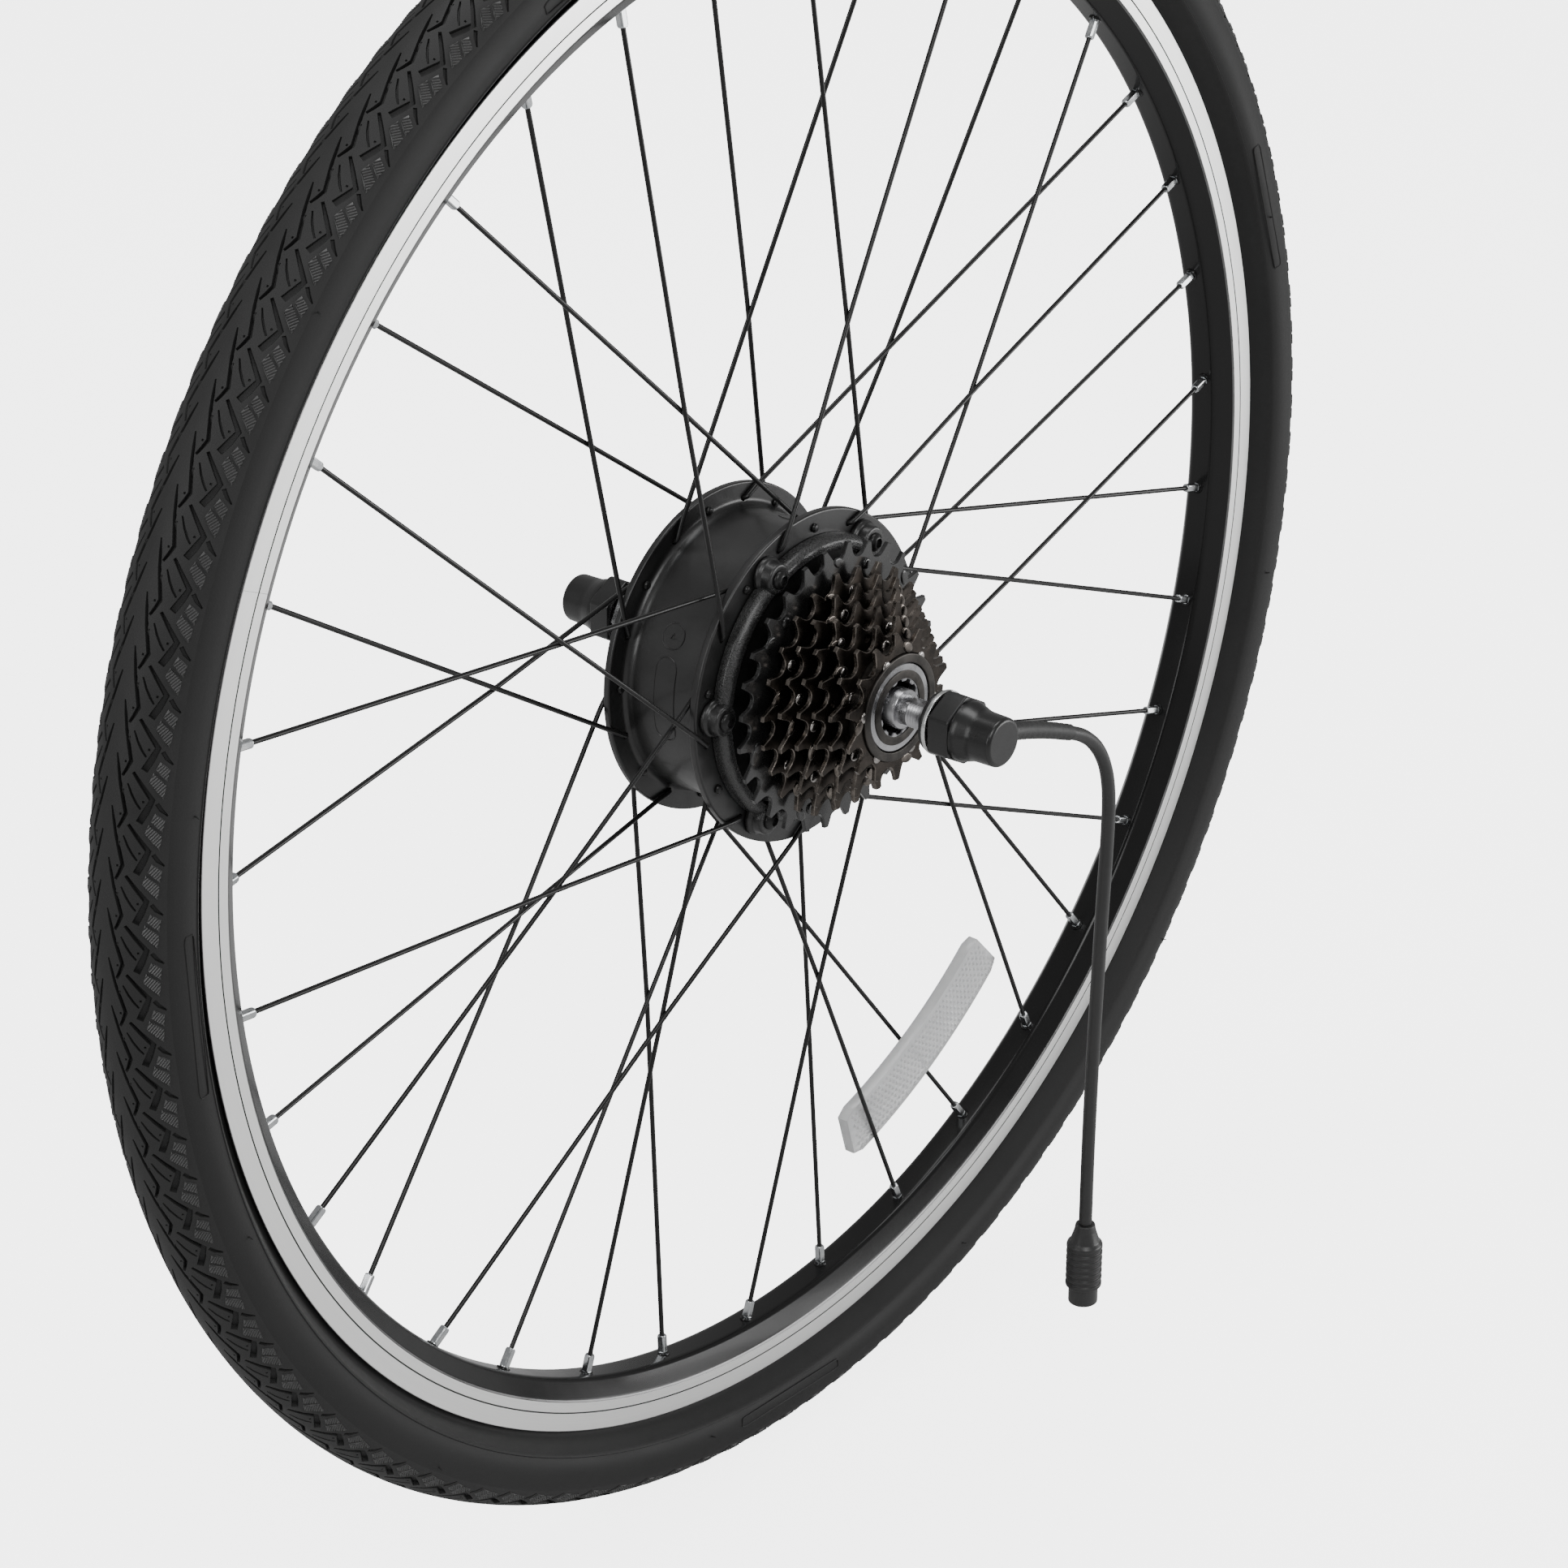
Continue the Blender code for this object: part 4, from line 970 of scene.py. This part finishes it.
def make_hub_shell(mat):
    outline = [(53.3, -19, 0.3), (68, -19, 0.9), (68, -15.5, 0.9), (60, -15.5, 2.2), (57.6, -12, 2.0), (57.5, 4),
               (57.9, 22.6, 1.5), (59.4, 25.5, 1.6), (67.6, 25.5, 0.8), (67.6, 28.5, 0.8), (59, 28.5, 1.5),
               (52, 32.6, 1.0), (51.2, 33.8, 0.5), (46, 36.2, 3), (38.8, 37.6, 0.4), (38.2, 36.9, 0.3),
               (36.8, 37.2, 0.3), (36.2, 38.1, 0.4), (24, 40.4, 3), (19.4, 41.6, 1.2), (19, 46, 0.8), (14.3, 46, 0.4), (14.3, 38, 0.2),
               (11, 38, 0.2), (11, 37, 0.2), (44, 33.2, 2), (53.3, 27, 2)]
    shell = turned("hub_casting", rounded(outline, 0.5, 4), 144)
    tools = []
    for spoke in all_spokes():
        low, high = sorted((spoke["leave"], spoke["opposite"]))
        hole = cylinder_along_y(1.35, low / MM - 1, high / MM + 1, 16)
        tools.append(moved(hole, Matrix.Translation((spoke["hub"].x, 0, spoke["hub"].z))))
    mesh = carved(shell, merged("holes", tools))
    add_piece("hub_casting", mesh, "wheel", [mat["hub"]], ["hub_shell"], weighted=True)
    degree = math.radians(57.6)
    ring = [(151.7 + 5.2 * math.cos(a) / degree, 6.4 + 5.2 * math.sin(a)) for a in (k * math.pi / 16 for k in range(32))]
    arrow = [(152.9, 5.4), (150.7, 6.4), (152.9, 7.4)]
    loops = []
    for middle in (177.5, 297.5, 57.5):
        ends = [(k, math.radians(180 * k / 8 - 90)) for k in range(9)]
        loops.append([(middle + 12.5 + 5 * math.cos(a) / degree, 6.2 + 5 * math.sin(a)) for k, a in ends]
                     + [(middle - 12.5 - 5 * math.cos(a) / degree, 6.2 - 5 * math.sin(a)) for k, a in ends])
    lines = []
    for mark in (ring, arrow, *loops):
        path = []
        for (start, low), (end, high) in zip(mark, mark[1:] + mark[:1]):
            steps = max(1, round(abs(end - start) / 3))
            path += [polar(57.56, start + (end - start) * k / steps, low + (high - low) * k / steps)
                     for k in range(steps)]
        lines.append(mesh_of(wire("mark", path, 0.3, 1, cyclic=True)))
    add_piece("hub_cast_outlines", merged("hub_cast_outlines", lines), "wheel", [mat["hub"]])
    ring = rounded([(9.8, 45.1), (13.9, 45.1), (13.9, 38.3), (6.3, 38.3), (6.3, 45.7), (9.8, 45.7)], 0.3)
    add_piece("left_bearing_race", turned("left_bearing_race", ring), "wheel", [mat["steel"]],
              ["left_bearing"])
    seal = rounded([(9.9, 44.6), (13.8, 44.6), (13.8, 45.5), (12.6, 45.8), (11.2, 45.4), (9.9, 45.9)], 0.3)
    add_piece("left_bearing_seal", turned("left_bearing_seal", seal), "wheel", [mat["seal"]])


def make_cover(mat):
    outline = [(17.2, -39.5, 0.6), (17.2, -27.6, 1.2), (24, -26, 2.0), (27, -22.6, 1.5), (52.6, -22, 0.8),
               (53.2, -25.0, 0.5), (54.0, -25.5, 0.5), (56.6, -25.5, 1.8), (58.4, -23.2, 1.0), (58.6, -19.3, 0.2),
               (52.8, -19.3, 0.2), (52.8, -14.6, 0.3), (50, -14.6, 0.3), (50, -18.8, 0.5), (22, -20, 1),
               (20, -24, 1), (14.3, -24, 0.3), (14.3, -33.2, 0.3), (8.6, -33.2, 0.3), (8.6, -39.5, 0.3)]
    cover = turned("side_cover", rounded(outline, 0.5, 4), 144)
    ear = [(0, -26.1), (6.1, -26.1, 1.1), (6.5, -21.8, 0.6), (7.6, -20.8, 0.6), (7.7, -19.35), (0, -19.35)]
    ear_mesh = turned("ear", rounded(ear, 0.3, closed=False), 48)
    spots = [polar(SCREW_CIRCLE, SCREW_ANGLE + 60 * i) for i in range(SCREW_COUNT)]
    ears = merged("ears", [moved(ear_mesh, Matrix.Translation(spot)) for spot in spots])
    mesh = carved(cover, ears, "UNION")
    bores = [moved(cylinder_along_y(2.3, -30, -10, 20), Matrix.Translation(spot)) for spot in spots]
    mesh = carved(mesh, merged("bores", bores))
    for face in mesh.polygons:
        centre = face.center
        radius = math.hypot(centre.x, centre.z) / MM
        # faces of the lip ring take the lighter grey, a painted highlight
        face.material_index = 1 if 53.2 < radius < 59 and centre.y / MM < -20.5 else 0
    add_piece("side_cover", mesh, "wheel", [mat["cover"], mat["lip"]], ["drive_side_cover"],
              weighted=True)
    head = rounded([(0, -28.5), (2.2, -28.4), (3.7, -27.4, 0.8), (3.9, -26.3, 0.2), (2, -26.3), (2, -14), (0, -14)],
                   0.4, closed=False)
    recess = [(2.1 * math.cos(k * math.pi / 3), 2.1 * math.sin(k * math.pi / 3)) for k in range(6)]
    screw = carved(turned("cover_screw_head", head, 40), prism("recess", [recess], -28.6, 3.0))
    for i, spot in enumerate(spots):
        add_piece(f"cover_screw_head_{i + 1}", screw, "wheel", [mat["screw"]],
                  [f"cover_screw_{i + 1}"], Matrix.Translation(spot))


# ---------------------------------------------------------------- freewheel

def tooth_outline(teeth):
    """Roller seats joined by narrow tips; every fourth tooth is cut back to help the chain shift."""
    pitch_radius = CHAIN_PITCH / (2 * math.sin(math.pi / teeth))
    tip_radius = pitch_radius + 2.7
    step = 360 / teeth
    points = []
    for tooth in range(teeth):
        seat = step * tooth
        for beta in (-66, -44, -22, 0, 22, 44, 66):
            inward = math.radians(beta)
            radius = pitch_radius - 4.05 * math.cos(inward)
            points.append(polar(radius, seat + math.degrees(4.05 * math.sin(inward) / pitch_radius)))
        cut = 1.1 if tooth % 4 == 1 else 0.0
        lean = 0.1 if tooth % 4 == 3 else 0.0
        for share in (-0.085, 0.085):
            points.append(polar(tip_radius - cut, seat + step * (0.5 + share + lean)))
    return [(p.x / MM, p.z / MM) for p in points], pitch_radius


def ring_points(radius, count, start=0.0):
    points = [polar(radius, start + 360 * k / count) for k in range(count)]
    return [(p.x / MM, p.z / MM) for p in points]


def make_sprockets(mat):
    rivet = rounded([(0, -0.85), (1.7, -0.8), (2.3, -0.35, 0.4), (2.3, 0.1), (0, 0.1)], 0.5, closed=False)
    rivet_mesh = turned("rivet", rivet, 24)
    ramp = rounded([(0, -0.55), (2.6, -0.5), (3.4, -0.1), (3.4, 0.1), (0, 0.1)], 0.3, closed=False)
    ramp_mesh = turned("ramp", ramp, 20)
    for i, teeth in enumerate(SPROCKET_TEETH):
        low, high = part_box(f"sprocket_{teeth}t")
        y = (low[1] + high[1]) / 2 / MM
        thickness = (high[1] - low[1]) / MM
        outline, pitch_radius = tooth_outline(teeth)
        seat = 21.9 if teeth == SPROCKET_TEETH[-1] else 24.2
        slots = []
        if teeth > 16:
            count = 8 if teeth > 20 else 6
            for k in range(count):
                spot = polar((seat + pitch_radius) / 2 - 0.8, 360 * k / count + 11 * i)
                slots.append([(spot.x / MM + x, spot.z / MM + z) for x, z in ring_points(1.5, 14)])
        mesh = prism(f"sprocket_{teeth}t_plate", [outline, ring_points(seat, 64), *slots], y, thickness, 0.28)
        for face in mesh.polygons:
            centre = face.center
            radius = math.hypot(centre.x, centre.z) / MM
            # edge faces near the teeth take the lighter tooth material, a painted highlight
            face.material_index = 1 if abs(face.normal.y) < 0.9 and radius > pitch_radius - 5 else 0
        plain = mat["black_sprocket"] if i == 0 else mat["sprocket"]
        edge = mat["black_sprocket"] if i == 0 else mat["tooth"]
        add_piece(f"sprocket_{teeth}t_plate", mesh, "freewheel", [plain, edge], [f"sprocket_{teeth}t"])
        face_y = low[1]
        rivets, ramps = [], []
        for k in range(6):
            spot = polar(pitch_radius - 7.2, 60 * k + 17 * i + 10)
            rivets.append(moved(rivet_mesh, Matrix.Translation((spot.x, face_y, spot.z))))
        for k in range(teeth // 4):
            spot = polar(pitch_radius - 4.4, 360 / teeth * (4 * k + 3.0))
            stretch = Matrix.Diagonal((1, 1, 0.62, 1))
            turn = about_axle(360 / teeth * (4 * k + 3.0) + 62)
            ramps.append(moved(ramp_mesh, Matrix.Translation((spot.x, face_y, spot.z)) @ turn @ stretch))
        add_piece(f"sprocket_{teeth}t_rivets", merged(f"sprocket_{teeth}t_rivets", rivets), "freewheel",
                  [mat["rivet"] if i else mat["black_sprocket"]])
        # the shift ramps also take the lighter tooth material, a painted highlight
        add_piece(f"sprocket_{teeth}t_ramps", merged(f"sprocket_{teeth}t_ramps", ramps), "freewheel",
                  [mat["tooth"] if i else mat["black_sprocket"]])


def make_freewheel(mat):
    body = [(20.4, -29, 0.3), (24, -29, 0.4), (24, -61.8, 0.4), (21.8, -61.8, 0.3), (21.8, -65, 0.5),
            (18.2, -65, 0.4), (18.2, -60.9, 0.3), (20.4, -60.9, 0.3)]
    add_piece("freewheel_carrier", turned("freewheel_carrier", rounded(body, 0.4)), "freewheel",
              [mat["freewheel"]], ["freewheel_body"], weighted=True)
    spline = []
    for k in range(24):
        radius = 10.4 if k % 2 else 11.5
        spline += [polar(radius, 15 * k - 5), polar(radius, 15 * k + 5)]
    splined = [(p.x / MM, p.z / MM) for p in spline]
    face = prism("freewheel_core_face", [ring_points(17.9, 96), splined], -62.5, 4.0, 0.35)
    add_piece("freewheel_core_face", face, "wheel", [mat["steel"]], ["freewheel_core"])
    core = [(17.5, -27.4, 0.3), (20, -27.4, 0.3), (20, -60.4, 0.3), (11.6, -60.4, 0.3), (11.6, -40, 0.3),
            (17.5, -40, 0.3)]
    add_piece("freewheel_core_thread", turned("freewheel_core_thread", rounded(core, 0.3)), "wheel",
              [mat["freewheel"]])
    collar = rounded([(11.8, -64.9), (15.2, -64.9), (15.2, -64.3), (11.8, -64.3)], 0.2)
    add_piece("freewheel_core_collar", turned("freewheel_core_collar", collar), "wheel",
              [mat["freewheel"]])


# ---------------------------------------------------------------- axle ends

def thread(radius, start, end, pitch=1.25):
    """Outline points of thread crests between two axial places."""
    count = int(abs(end - start) / pitch)
    step = math.copysign(pitch, end - start)
    points = []
    for k in range(count):
        points += [(radius, start + step * (k + 0.15)), (radius - 0.55, start + step * (k + 0.65))]
    return points


def make_axle(mat):
    outline = [(0, -22), (3.2, -22), (3.2, -108), (5.2, -108), (5.9, -107.2), *thread(5.95, -107, -70), (5.9, -67.6),
               (7.7, -67.5), (8, -67.1), (8, -33.3), (6, -33.3), (6, 4.4), (12, 4.4), (12, 29), (6, 29), (6, 46.2),
               (9.3, 46.2), (9.5, 46.5), (9.5, 67.1), (9.2, 67.5), (5.9, 67.6), *thread(5.95, 70, 96), (5.9, 96.4),
               (5.2, 97), (0, 97)]
    bar = turned("axle_bar", outline, 72)
    flats = []
    for low, high in ((-110, -67.8), (67.8, 99)):
        for side in (-1, 1):
            block = bmesh.new()
            bmesh.ops.create_cube(block, size=1)
            bmesh.ops.scale(block, vec=(20 * MM, (high - low) * MM, 10 * MM), verts=block.verts)
            bmesh.ops.translate(block, vec=(0, (low + high) / 2 * MM, side * 10 * MM), verts=block.verts)
            mesh = bpy.data.meshes.new("flat")
            block.to_mesh(mesh)
            block.free()
            flats.append(mesh)
    add_piece("axle_bar", carved(bar, merged("flats", flats)), "axle_assembly", [mat["steel"]],
              ["axle"])


def make_nuts(mat):
    for name, low, high, inner, outer, material, stands_for in (
            ("bright_washer", -86.6, -84.7, 6.4, 13, "zinc", ["drive_washer"]),
            ("black_washer", -84.6, -82.8, 6.4, 12.2, "cap", [])):
        ring = rounded([(inner, low), (outer, low), (outer, high), (inner, high)], 0.35)
        add_piece(name, turned(name, ring), "axle_assembly", [mat[material]], stands_for)
    for name, base, out in (("drive_axle_nut", -87, -1), ("left_axle_nut", 75, 1)):
        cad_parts[name].data.materials.clear()
        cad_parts[name].data.materials.append(mat["zinc"])


def make_cap(name, node, base, out, mat):
    """A hexagonal skirt, a taper and a round end with a soft edge."""
    outline = [(0, 28), (8.9, 28, 1.2), (9.9, 27, 0.6), (10.15, 17.4, 1.5), (12.1, 11.4, 1.6), (12.1, 0.2, 0.4),
               (11, 0.2, 0.3), (11, 9.6, 0.4), (7.7, 12, 0.4), (7.7, 25.6, 0.4), (0, 25.6)]
    points = [(radius, base + out * height) for radius, height in rounded(outline, 0.5, 5, closed=False)]
    dome = turned(name, points, ROUND_STEPS)
    corners = []
    for k in range(6):
        corners += [(14.0, 60 * k - 3.2 + 30), (14.0, 60 * k + 3.2 + 30)]
    hexagon = [polar(radius, angle) for radius, angle in corners]
    outlines = [[(p.x / MM, p.z / MM) for p in hexagon], ring_points(11.6, 48)]
    skirt = prism("skirt", outlines, base + out * 5.2, 9.6, 0.7, 2)
    mesh = carved(dome, skirt, "UNION")
    add_piece(name, mesh, "axle_assembly", [mat["cap"]], [node], weighted=True)


# ---------------------------------------------------------------- hidden pieces

def finish_inner_nodes(mat):
    """Give the enclosed CAD pieces their own materials."""
    looks = {"ring_gear": "gear_steel", "sun_gear": "gear_steel", "planet_gear_1": "nylon",
             "planet_gear_2": "nylon", "planet_gear_3": "nylon", "planet_carrier": "gear_steel",
             "one_way_clutch": "steel", "stator_core": "laminate", "stator_winding": "copper",
             "rotor_bell": "bell", "drive_bearing": "steel"}
    for node, look in looks.items():
        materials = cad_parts[node].data.materials
        materials.clear()
        materials.append(mat[look])


def main():
    make_camera()
    mat = make_materials()
    make_cable(mat)
    make_sleeve(mat)
    make_studio()
    make_tyre(mat)
    make_wall_marks(mat)
    make_inner_tube(mat)
    make_rim(mat)
    make_spokes(mat)
    make_reflector(mat)
    make_hub_shell(mat)
    make_cover(mat)
    make_sprockets(mat)
    make_freewheel(mat)
    make_axle(mat)
    make_nuts(mat)
    make_cap("drive_cap_moulding", "drive_nut_cap", -87, -1, mat)
    make_cap("left_cap_moulding", "left_nut_cap", 75, 1, mat)
    finish_inner_nodes(mat)


main()
